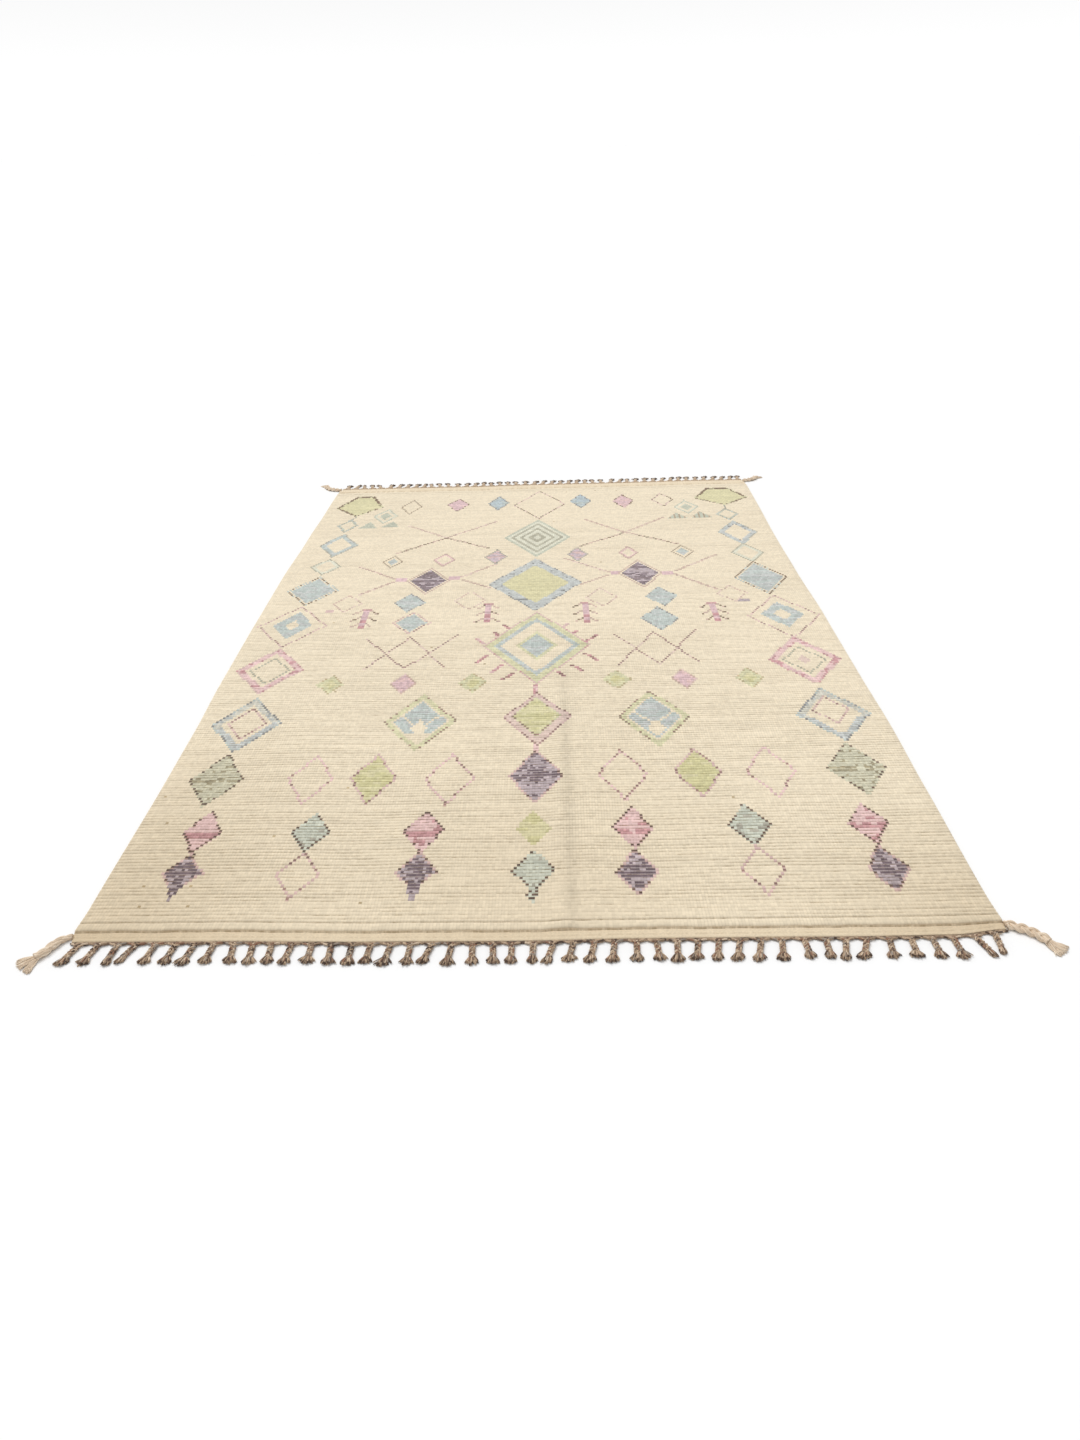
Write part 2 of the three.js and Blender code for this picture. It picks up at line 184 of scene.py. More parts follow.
def hash01(*keys):
    """A repeatable number from 0 to 1 for each set of keys."""
    total = sum(np.asarray(key, dtype=float) * gain for key, gain in zip(keys, (12.9898, 78.233, 37.719)))
    wave = np.sin(total) * 43758.5453
    return wave - np.floor(wave)


def smooth_noise(x, y, seed):
    """Soft noise from 0 to 1 over a lattice of whole numbers."""
    x, y = np.broadcast_arrays(np.asarray(x, float), np.asarray(y, float))
    i, j = np.floor(x), np.floor(y)
    u, v = smooth(x - i), smooth(y - j)
    low = hash01(i, j, seed) * (1 - u) + hash01(i + 1, j, seed) * u
    high = hash01(i, j + 1, seed) * (1 - u) + hash01(i + 1, j + 1, seed) * u
    return low * (1 - v) + high * v


def table_value(table, column, at):
    """Smooth steps from one row of a table to the next; in and out in metres."""
    places = np.array(table["at"], float) * MM
    values = np.array(table[column], float) * MM
    at = np.asarray(at, float)
    after = np.clip(np.searchsorted(places, at), 1, len(places) - 1)
    share = smooth((at - places[after - 1]) / (places[after] - places[after - 1]))
    return values[after - 1] + (values[after] - values[after - 1]) * share


def end_y(end, x):
    sign = -1 if end == "near" else 1
    return sign * (LENGTH / 2 + table_value(END_SWAY, end, x))


def side_x(side, y):
    sign = -1 if side == "left" else 1
    return sign * (WIDTH / 2 + table_value(SIDE_SWAY, side, y))


def drawn_in(end, x, inward):
    """How far inwards the plaits draw a place that lies some way in from a woven end."""
    pull = np.where(np.asarray(x) < 0, CORNER_PULL[f"{end}_left"], CORNER_PULL[f"{end}_right"]) * MM
    near_corner = smooth((np.abs(x) - WIDTH / 2 + GATHER["across"]) / GATHER["across"])
    return pull * near_corner * np.maximum(0, 1 - inward / GATHER["along"])


def seam_waver(x, end):
    seed = 61 if end == "near" else 62
    slow = SEAM["slow"] * (smooth_noise(x / SEAM["slow_step"], 0, seed) - 0.5)
    return slow + SEAM["fast"] * (smooth_noise(x / SEAM["fast_step"], 0, seed + 7) - 0.5)


def srgb(red, green, blue):
    """Linear colour from sRGB numbers of 0 to 255."""
    return tuple(
        c / 255 / 12.92 if c / 255 <= 0.04045 else ((c / 255 + 0.055) / 1.055) ** 2.4
        for c in (red, green, blue)
    )


# Yarns: colour, how much its rows and its single knots differ, and how strong the painted shade is in the
# grooves between its rows
Yarn = namedtuple("Yarn", "color rows knots grooves")
YARNS = {
    "cream": Yarn(srgb(238, 224, 198), 0.02, 0.06, 1.0),
    "lime": Yarn(srgb(213, 207, 160), 0.05, 0.10, 1.6),
    "pale_lime": Yarn(srgb(222, 215, 174), 0.05, 0.08, 1.4),
    "leaf": Yarn(srgb(219, 215, 178), 0.06, 0.12, 1.4),
    "sage": Yarn(srgb(212, 208, 184), 0.06, 0.12, 2.8),
    "umber": Yarn(srgb(168, 158, 130), 0.10, 0.25, 1.6),
    "mist": Yarn(srgb(208, 211, 196), 0.06, 0.12, 2.2),
    "mint": Yarn(srgb(226, 224, 205), 0.03, 0.08, 1.2),
    "ash": Yarn(srgb(178, 174, 160), 0.06, 0.16, 1.6),
    "blue": Yarn(srgb(194, 202, 197), 0.06, 0.12, 1.6),
    "sky": Yarn(srgb(200, 203, 200), 0.07, 0.14, 1.8),
    "slate": Yarn(srgb(150, 151, 150), 0.06, 0.20, 1.8),
    "pink": Yarn(srgb(233, 201, 198), 0.06, 0.10, 2.2),
    "rose": Yarn(srgb(206, 158, 160), 0.08, 0.16, 2.2),
    "mauve": Yarn(srgb(219, 190, 184), 0.05, 0.10, 1.3),
    "blush": Yarn(srgb(227, 204, 192), 0.03, 0.08, 1.1),
    "lilac": Yarn(srgb(210, 192, 198), 0.06, 0.16, 1.8),
    "lavender": Yarn(srgb(190, 176, 180), 0.10, 0.16, 2.4),
    "purple": Yarn(srgb(116, 100, 106), 0.12, 0.24, 1.6),
    "plum": Yarn(srgb(152, 123, 114), 0.08, 0.25, 1.4),
    "soot": Yarn(srgb(108, 88, 76), 0.08, 0.25, 1.4),
    "straw": Yarn(srgb(192, 172, 136), 0.05, 0.16, 1.2),
    "haze": Yarn(srgb(200, 202, 184), 0.05, 0.12, 1.6),
    "fog": Yarn(srgb(186, 182, 162), 0.06, 0.14, 1.6),
    "pale_sky": Yarn(srgb(214, 211, 198), 0.05, 0.12, 1.6),
    "azure": Yarn(srgb(186, 198, 202), 0.06, 0.14, 1.6),
    "orchid": Yarn(srgb(222, 192, 194), 0.06, 0.12, 1.8),
    "dusk": Yarn(srgb(204, 178, 164), 0.05, 0.14, 1.2),
    "taupe": Yarn(srgb(180, 163, 140), 0.06, 0.18, 1.2),
    "bark": Yarn(srgb(134, 114, 94), 0.08, 0.24, 1.2),
}
YARN_NAMES = list(YARNS)

# Yarns of outlines, which show only on the crowns of the rows
DASHES = {"plum", "soot", "straw", "purple", "umber"}

# Lines that change yarn from knot to knot: two yarns and the share of the first, which is more in some runs
MIXES = {
    "plum_pink": ("plum", "mauve", 0.42),
    "plum_rose": ("plum", "rose", 0.45),
    "plum_leaf": ("plum", "leaf", 0.50),
    "plum_blue": ("slate", "blue", 0.50),
    "slate_sky": ("slate", "sky", 0.40),
    "soot_mist": ("soot", "mist", 0.90),
    "soot_sage": ("soot", "sage", 0.55),
    "soot_pink": ("soot", "pink", 0.75),
    "soot_purple": ("soot", "mauve", 0.30),
    "straw_leaf": ("straw", "leaf", 0.55),
    "rose_pink": ("rose", "pink", 0.50),
    "plum_mauve": ("plum", "mauve", 0.16),
    "rose_line": ("rose", "mauve", 0.22),
    "plum_soft": ("plum", "pink", 0.30),
    "cross_line": ("dusk", "blush", 0.75),
    "cross_dark": ("bark", "dusk", 0.45),
    "zigzag": ("plum", "blush", 0.85),
    "leg": ("bark", "dusk", 0.45),
    "mauve_line": ("dusk", "blush", 0.60),
    "dusk_line": ("bark", "mauve", 0.45),
    "bark_blue": ("bark", "blue", 0.60),
    "bark_leaf": ("bark", "leaf", 0.72),
    "ash_blue": ("ash", "blue", 0.55),
    "slate_azure": ("slate", "azure", 0.85),
}

MIX_RUNS = {"least": 0.35, "swing": 1.3, "knots": 5}

# Fills that change yarn from row to row: light and dark yarn, share of dark in the lightest and darkest row,
# how much more of it in one band, how far under the waist that band lies and its reach in centimetres,
# how many rows go together, and how many knots its streaks run
Band = namedtuple("Band", "light dark least most more under reach rows run")
BANDS = {
    "pink_bands": Band("pink", "rose", 0.00, 0.40, 0.80, 1.3, 1.3, 1.0, 2.6),
    "purple_bands": Band("lavender", "purple", 0.24, 0.82, 0.35, -0.8, 2.2, 1.0, 1.1),
    "purple_soft": Band("lavender", "purple", 0.06, 0.62, 0.45, -0.8, 1.8, 1.0, 1.6),
    "purple_stripes": Band("lavender", "purple", 0.00, 1.80, 0.00, 0.0, 1.0, 1.5, 2.4),
    "sage_bands": Band("sage", "umber", 0.02, 0.24, 0.62, 0.5, 1.2, 1.0, 1.6),
    "mist_bands": Band("mist", "ash", 0.00, 0.20, 0.30, 3.0, 2.4, 1.0, 2.2),
    "blue_bands": Band("blue", "sky", 0.10, 0.80, 0.00, 0.0, 1.0, 1.0, 2.6),
    "azure_bands": Band("azure", "blue", 0.10, 0.60, 0.00, 0.0, 1.0, 1.0, 2.6),
    "sky_bands": Band("pale_sky", "sky", 0.00, 0.30, 0.95, 9.0, 9.5, 1.0, 2.2),
    "slate_bands": Band("sky", "slate", 0.02, 0.18, 0.00, 0.0, 1.0, 1.0, 2.0),
    "lime_bands": Band("lime", "pale_lime", 0.05, 0.90, 0.00, 0.0, 1.0, 1.0, 2.6),
    "lilac_bands": Band("lilac", "mauve", 0.10, 0.80, 0.00, 0.0, 1.0, 1.0, 2.6),
    "orchid_bands": Band("orchid", "pink", 0.05, 0.70, 0.00, 0.0, 1.0, 1.0, 2.6),
}

# Rings of each kind of lozenge, from its edge inwards: yarn and how many knots wide; the last fills it
REST = COLUMNS
STYLES = {
    "thin_pink": [("plum_soft", 1), ("cream", REST)],
    "thin_blush": [("plum_mauve", 1), ("cream", REST)],
    "thin_mauve": [("mauve_line", 1), ("cream", REST)],
    "thin_dusk": [("dusk_line", 1), ("cream", REST)],
    "thin_olive": [("taupe", 1), ("cream", REST)],
    "thin_mist": [("fog", 1), ("cream", REST)],
    "blush": [("blush", REST)],
    "pink_dark_edge": [("soot_pink", 1), ("pink_bands", REST)],
    "orchid": [("dusk_line", 1), ("orchid_bands", REST)],
    "orchid_soft": [("mauve_line", 1), ("orchid_bands", REST)],
    "azure": [("slate_azure", 1), ("azure_bands", REST)],
    "blue": [("plum_blue", 1), ("blue_bands", REST)],
    "blue_framed": [("plum_pink", 1), ("cream", 1), ("blue_bands", REST)],
    "corner_lime": [("bark_leaf", 2), ("pale_lime", REST)],
    "mist_hollow": [("haze", 1), ("mint", 1), ("cream", 2), ("haze", REST)],
    "blue_ring": [("ash_blue", 1), ("haze", 1), ("cream", REST)],
    "blue_thick": [("ash_blue", 1), ("blue_bands", 3), ("cream", REST)],
    "grey_thick": [("ash_blue", 1), ("slate_bands", 3), ("cream", REST)],
    "sage_ring": [("fog", 1), ("mint", 2), ("cream", REST)],
    "blue_big": [("bark_blue", 1), ("cream", 1), ("blue_bands", REST)],
    "dotted": [("plum_pink", 1), ("cream", REST)],
    "blue_core": [("blue_bands", 6), ("cream", REST)],
    "pink_thick": [("rose_line", 1), ("pink_bands", 3), ("cream", REST)],
    "sky_thick": [("plum_blue", 1), ("sky_bands", 3), ("cream", REST)],
    "sage_dark_edge": [("soot_sage", 1), ("sage_bands", REST)],
    "mist_dark_edge": [("soot_mist", 1), ("mist_bands", REST)],
    "purple_wide": [("soot_purple", 1), ("purple_soft", REST)],
    "mist_tail": [("soot_mist", REST)],
    "purple": [("soot_purple", 1), ("purple_bands", REST)],
    "purple_tail": [("purple_bands", REST)],
    "purple_framed": [("dusk", 1), ("cream", 1), ("purple_stripes", REST)],
    "concentric": [
        ("haze", 2), ("mint", 2), ("fog", 2), ("mint", 3), ("fog", 2), ("mint", 3), ("fog", 3), ("mint", REST)
    ],
    "sky_lime": [("slate_sky", 1), ("slate_bands", 6), ("pale_lime", REST)],
    "leaf_blue": [
        ("rose_line", 1), ("leaf", 4), ("blue_bands", 3), ("cream", 7), ("leaf", 2), ("blue_bands", REST)
    ],
    "eye": [("taupe", 1), ("cream", 2), ("blue_bands", REST)],
    "lilac": [("ash", 1), ("lilac_bands", REST)],
    "pink_ring": [("dusk", 1), ("pink", 1), ("cream", REST)],
    "leaf": [("straw_leaf", 1), ("leaf", 2), ("lime_bands", REST)],
    "leaf_dark_edge": [("plum_pink", 1), ("lime_bands", REST)],
    "leaf_bare": [("lime_bands", REST)],
    "leaf_frame": [("plum_leaf", 1), ("leaf", 2), ("cream", 1), ("cream", REST)],
    "blush_wide": [("plum_pink", 1), ("blush", REST)],
    "lime_inner": [("plum_leaf", 1), ("lime_bands", REST)],
}

# Every lozenge: its middle across the rug, its near and far tips, half its width, and its kind
Lozenge = namedtuple("Lozenge", "x near far half style")
LOZENGES = [Lozenge(*row) for row in (
    # Along the far end
    (-60.4, 111.4, 131.6, 5.0, "thin_olive"),
    (-38.7, 114.4, 132.6, 5.3, "orchid"),
    (-19.8, 114.4, 134.2, 5.1, "azure"),
    (-0.6, 101.8, 139.8, 12.0, "thin_dusk"),
    (18.6, 114.6, 134.2, 5.1, "azure"),
    (38.4, 113.2, 132.4, 5.2, "orchid"),
    (56.8, 114.4, 133.0, 5.2, "thin_dusk"),
    (-70.6, 100.4, 119.4, 5.7, "mist_hollow"),
    (66.8, 103.4, 122.2, 5.8, "mist_hollow"),
    # Down the left edge
    (-85.6, 90.4, 107.4, 4.6, "blue_ring"),
    (-84.8, 62.0, 88.8, 8.4, "blue_thick"),
    (-85.0, 44.0, 61.0, 6.2, "sage_ring"),
    (-85.2, 16.2, 42.8, 9.9, "blue_big"),
    (-86.1, -17.0, 16.0, 12.2, "dotted"),
    (-86.0, -10.6, 11.0, 7.0, "blue_core"),
    (-86.2, -47.8, -17.0, 11.0, "pink_thick"),
    (-86.0, -41.6, -24.0, 6.5, "thin_mist"),
    (-85.6, -79.8, -50.0, 10.4, "sky_thick"),
    (-85.4, -73.0, -56.2, 6.0, "dotted"),
    (-86.2, -105.0, -80.2, 7.4, "sage_dark_edge"),
    (-82.9, -123.4, -106.4, 5.2, "pink_dark_edge"),
    (-82.8, -136.4, -123.2, 5.2, "purple"),
    # Down the right edge
    (84.0, 94.6, 110.2, 5.0, "blue_ring"),
    (84.9, 66.2, 94.4, 8.5, "grey_thick"),
    (84.8, 47.4, 68.0, 6.7, "sage_ring"),
    (85.0, 17.8, 48.8, 10.3, "blue_big"),
    (85.8, -16.8, 17.0, 12.8, "dotted"),
    (85.6, -8.6, 11.2, 7.7, "blue_core"),
    (85.4, -47.4, -15.4, 12.0, "pink_thick"),
    (85.2, -40.6, -22.8, 7.2, "thin_mist"),
    (85.2, -34.4, -29.0, 2.0, "blush"),
    (85.4, -79.0, -49.6, 11.0, "sky_thick"),
    (85.2, -70.0, -54.4, 5.7, "dotted"),
    (84.6, -103.4, -79.2, 7.8, "sage_dark_edge"),
    (81.2, -122.6, -105.8, 5.1, "pink_dark_edge"),
    (81.2, -138.8, -122.2, 5.2, "purple"),
    # Down the middle
    (-0.8, 57.8, 101.4, 14.5, "concentric"),
    (-0.8, 8.0, 56.4, 18.0, "sky_lime"),
    (-0.4, -44.2, 7.8, 18.2, "leaf_blue"),
    (-0.4, -78.0, -48.6, 10.2, "blush_wide"),
    (-0.6, -73.5, -51.6, 7.3, "lime_inner"),
    (-0.6, -104.8, -80.0, 7.5, "purple_wide"),
    (-0.8, -121.2, -107.2, 4.5, "leaf_bare"),
    (-0.5, -136.8, -122.2, 5.4, "mist_dark_edge"),
    # Row of small ones past the crosses
    (-58.8, 49.8, 63.0, 4.4, "eye"),
    (-38.0, 50.6, 65.0, 4.8, "pink_ring"),
    (-17.1, 51.4, 67.0, 4.8, "lilac"),
    (16.0, 52.8, 67.8, 4.5, "lilac"),
    (36.6, 53.6, 67.8, 4.2, "pink_ring"),
    (58.8, 53.0, 67.4, 4.6, "eye"),
    # Purple ones between the beams
    (-42.0, 24.8, 50.2, 8.4, "purple_framed"),
    (39.8, 26.0, 53.0, 8.9, "purple_framed"),
    # Blue pairs and the outlined ones beside them
    (-46.9, 8.8, 25.6, 5.8, "blue"),
    (-44.4, -8.4, 9.4, 6.9, "blue_framed"),
    (45.4, 10.0, 27.0, 6.0, "blue"),
    (42.5, -9.4, 9.8, 6.8, "blue"),
    (-70.0, 9.2, 25.2, 5.5, "thin_mauve"),
    (-24.8, 10.2, 26.4, 6.0, "thin_mauve"),
    (23.4, 10.2, 27.0, 6.0, "thin_mauve"),
    (71.4, 12.0, 26.8, 5.7, "thin_mauve"),
    # Row beside the third medallion
    (-64.7, -48.8, -36.2, 4.4, "leaf"),
    (-42.0, -48.4, -35.6, 4.3, "orchid_soft"),
    (-20.2, -48.8, -36.0, 4.6, "leaf"),
    (24.6, -48.0, -36.0, 4.8, "leaf"),
    (45.4, -48.8, -35.6, 4.3, "orchid_soft"),
    (65.6, -49.0, -36.0, 4.3, "leaf"),
    # The two large ones filled with blue
    (-34.6, -80.0, -48.8, 10.8, "leaf_frame"),
    (33.6, -79.6, -49.0, 10.8, "leaf_frame"),
    # Three near rows
    (-60.8, -104.2, -81.4, 6.3, "thin_pink"),
    (-44.0, -104.2, -80.6, 6.4, "leaf_dark_edge"),
    (-23.6, -104.8, -81.0, 6.8, "thin_pink"),
    (22.6, -104.2, -80.6, 6.8, "thin_pink"),
    (42.6, -103.4, -80.0, 6.7, "leaf_dark_edge"),
    (61.8, -104.0, -80.0, 6.8, "thin_pink"),
    (-55.8, -122.4, -107.2, 5.2, "mist_dark_edge"),
    (-27.8, -123.2, -106.4, 5.2, "pink_dark_edge"),
    (23.6, -123.0, -106.2, 5.2, "pink_dark_edge"),
    (52.1, -123.0, -105.6, 5.3, "mist_dark_edge"),
    (-55.6, -139.2, -122.0, 5.3, "thin_blush"),
    (-27.8, -136.6, -122.6, 5.1, "purple"),
    (23.5, -139.0, -122.4, 5.3, "purple"),
    (52.4, -139.2, -121.8, 5.4, "thin_blush"),
    # Narrow tails of three near lozenges
    (-82.8, -139.8, -129.4, 1.6, "purple_tail"),
    (-27.8, -140.6, -129.4, 1.6, "purple_tail"),
    (-0.5, -140.6, -134.6, 1.4, "mist_tail"),
)]

# The two corner lozenges, whose far tip is cut off straight
Corner = namedtuple("Corner", "x near waist far cut half")
CORNERS = [
    Corner(-84.7, 110.4, 122.4, 147.2, 137.9, 11.2),
    Corner(84.5, 113.8, 123.9, 147.4, 138.2, 12.8),
]

# Straight strokes: both ends, yarn, and width in knots
Stroke = namedtuple("Stroke", "x0 y0 x1 y1 yarn width")
STROKES = [Stroke(*row) for row in (
    # Crosses beside the first medallion
    (-58.5, 97.7, -39.6, 81.9, "cross_line", 2),
    (-39.6, 81.9, -20.1, 68.3, "cross_dark", 2),
    (-18.5, 101.0, -39.6, 81.9, "cross_line", 2),
    (-39.6, 81.9, -59.5, 64.8, "cross_dark", 2),
    (19.6, 100.6, 37.1, 83.2, "cross_line", 2),
    (37.1, 83.2, 58.6, 68.2, "cross_dark", 2),
    (55.2, 100.6, 37.1, 83.2, "cross_line", 2),
    (37.1, 83.2, 15.8, 68.0, "cross_dark", 2),
    # Beams at the sides of the purple lozenges
    (-54.8, 37.8, -50.2, 37.8, "orchid", 3),
    (-54.6, 38.6, -71.9, 52.4, "cross_line", 2),
    (-54.6, 37.0, -67.1, 24.2, "cross_line", 2),
    (-34.2, 38.8, -29.8, 38.8, "orchid", 3),
    (-29.8, 39.6, -16.9, 51.6, "cross_line", 2),
    (-29.8, 38.0, -16.8, 28.2, "cross_line", 2),
    (28.2, 40.0, 31.8, 40.0, "orchid", 3),
    (28.2, 41.0, 10.0, 56.8, "cross_line", 2),
    (28.2, 39.2, 16.5, 30.1, "cross_line", 2),
    (48.2, 39.5, 52.8, 39.5, "orchid", 3),
    (52.8, 40.4, 71.4, 56.0, "cross_line", 2),
    (52.8, 38.6, 66.8, 23.4, "cross_line", 2),
    # Crossed zigzags beside the third medallion
    (-58.2, -11.4, -43.0, -32.4, "zigzag", 1),
    (-43.0, -32.4, -26.8, -8.6, "zigzag", 1),
    (-56.0, -32.8, -43.2, -10.4, "zigzag", 1),
    (-43.2, -10.4, -29.8, -32.6, "zigzag", 1),
    (25.6, -10.7, 39.0, -32.9, "zigzag", 1),
    (39.0, -32.9, 54.0, -8.7, "zigzag", 1),
    (25.4, -33.3, 39.2, -10.5, "zigzag", 1),
    (39.2, -10.5, 51.4, -31.9, "zigzag", 1),
    # Rays of the third medallion
    (-12.4, -1.8, -10.0, -5.2, "plum_rose", 2),
    (-15.4, -7.4, -13.4, -10.8, "plum_rose", 2),
    (-20.8, -12.0, -17.4, -17.0, "rose_pink", 2),
    (-20.0, -29.8, -16.4, -24.6, "plum_rose", 2),
    (-14.8, -36.2, -11.6, -31.4, "rose_pink", 2),
    (-10.8, -40.6, -7.8, -36.4, "plum_rose", 2),
    (8.4, -6.0, 10.8, -2.0, "rose_line", 2),
    (11.6, -10.8, 13.8, -7.2, "plum_rose", 2),
    (15.8, -16.8, 19.6, -11.4, "plum_rose", 2),
    (15.0, -24.0, 19.0, -29.4, "plum_rose", 2),
    (10.6, -31.8, 14.2, -36.4, "plum_rose", 2),
    (5.8, -36.4, 8.8, -40.0, "plum_rose", 2),
    # Necks between lozenges that stand over each other
    (-84.0, 111.4, -85.2, 106.4, "ash", 1),
    (84.5, 114.2, 84.1, 110.0, "ash", 1),
    (-0.4, -49.4, -0.6, -43.8, "rose_pink", 2),
    (-0.4, -81.0, -0.4, -77.4, "rose_pink", 2),
    (-82.8, -124.8, -82.8, -122.8, "soot", 2),
    (-55.8, -123.2, -55.8, -121.2, "plum_rose", 1),
    (-27.8, -124.8, -27.8, -122.6, "soot", 2),
    (23.6, -124.8, 23.6, -122.4, "soot", 2),
    (52.4, -123.2, 52.4, -121.0, "mauve", 1),
    (81.2, -124.8, 81.2, -122.2, "soot", 2),
    # Short bars beside the outlined ones
    (-76.8, 11.4, -73.6, 11.4, "mauve", 2),
    (72.0, 13.8, 76.8, 13.8, "lavender", 2),
)]

# Small triangles with a straight near side: middle, near side, far tip, half width, yarns of fill and stripes
TRIANGLE_STRIPES = 3
Triangle = namedtuple("Triangle", "x near far half fill stripes")
TRIANGLES = [
    Triangle(-76.2, 95.4, 103.2, 4.1, "haze", "haze"),
    Triangle(-66.2, 95.8, 103.2, 4.1, "haze", "haze"),
    Triangle(61.4, 98.4, 105.8, 4.6, "haze", "taupe"),
    Triangle(72.0, 98.8, 106.2, 4.5, "haze", "taupe"),
]

# Upright combs: a pale stem with a bar over it and slanting legs, by the middle and the ends of the stem
Comb = namedtuple("Comb", "x near far")
COMBS = [
    Comb(-61.8, -3.4, 12.6),
    Comb(-17.9, -0.2, 15.2),
    Comb(16.9, -2.4, 14.8),
    Comb(62.4, -3.0, 12.4),
]
COMB_STEM = 3
COMB_DARK = {"foot": 0.14, "from": 0.26, "to": 0.42}
COMB_BAR = {"half": 1.7, "from": 0.92}
COMB_LEGS = {"at": (1.0, 0.66, 0.32), "reach": 4.2, "drop": 4.4}

# Insides of the two large lozenges: how far their blue goes under the waist, and the bare lozenge in them,
# by its half width and how far under the waist its far tip, waist and near tip lie
Face = namedtuple("Face", "x near far half drop gap_half gap_far gap_waist gap_near")
BLUE_FACES = [
    Face(-34.6, -80.0, -48.8, 10.8, 6.2, 2.6, -1.0, 3.6, 8.8),
    Face(33.6, -79.6, -49.0, 10.8, 13.0, 2.6, 1.2, 5.8, 10.6),
]
FACE_RIM = 4

# Bare slants through the blue: where they start beside the middle, their slope, half width and reach
FACE_SLANT = {"from": 3.2, "slope": 0.75, "half": 0.42, "reach": 3.2}

# Rows that lie deeper than the rest: place, stretch across the rug, and extra depth; how far each of them
# reaches in rows, and over what length it fades out
Trough = namedtuple("Trough", "y x0 x1 depth")
TROUGHS = [
    Trough(0.658, 0.17, 0.99, 0.0026),
    Trough(0.636, 0.30, 0.96, 0.0016),
    Trough(-0.462, -0.98, -0.38, 0.0018),
    Trough(-0.528, -0.99, -0.30, 0.0014),
    Trough(-0.600, 0.38, 0.99, 0.0020),
    Trough(-0.645, 0.42, 0.99, 0.0014),
    Trough(-0.690, -0.22, -0.02, 0.0024),
]
TROUGH_ROWS = 0.6
TROUGH_FADE = 0.08


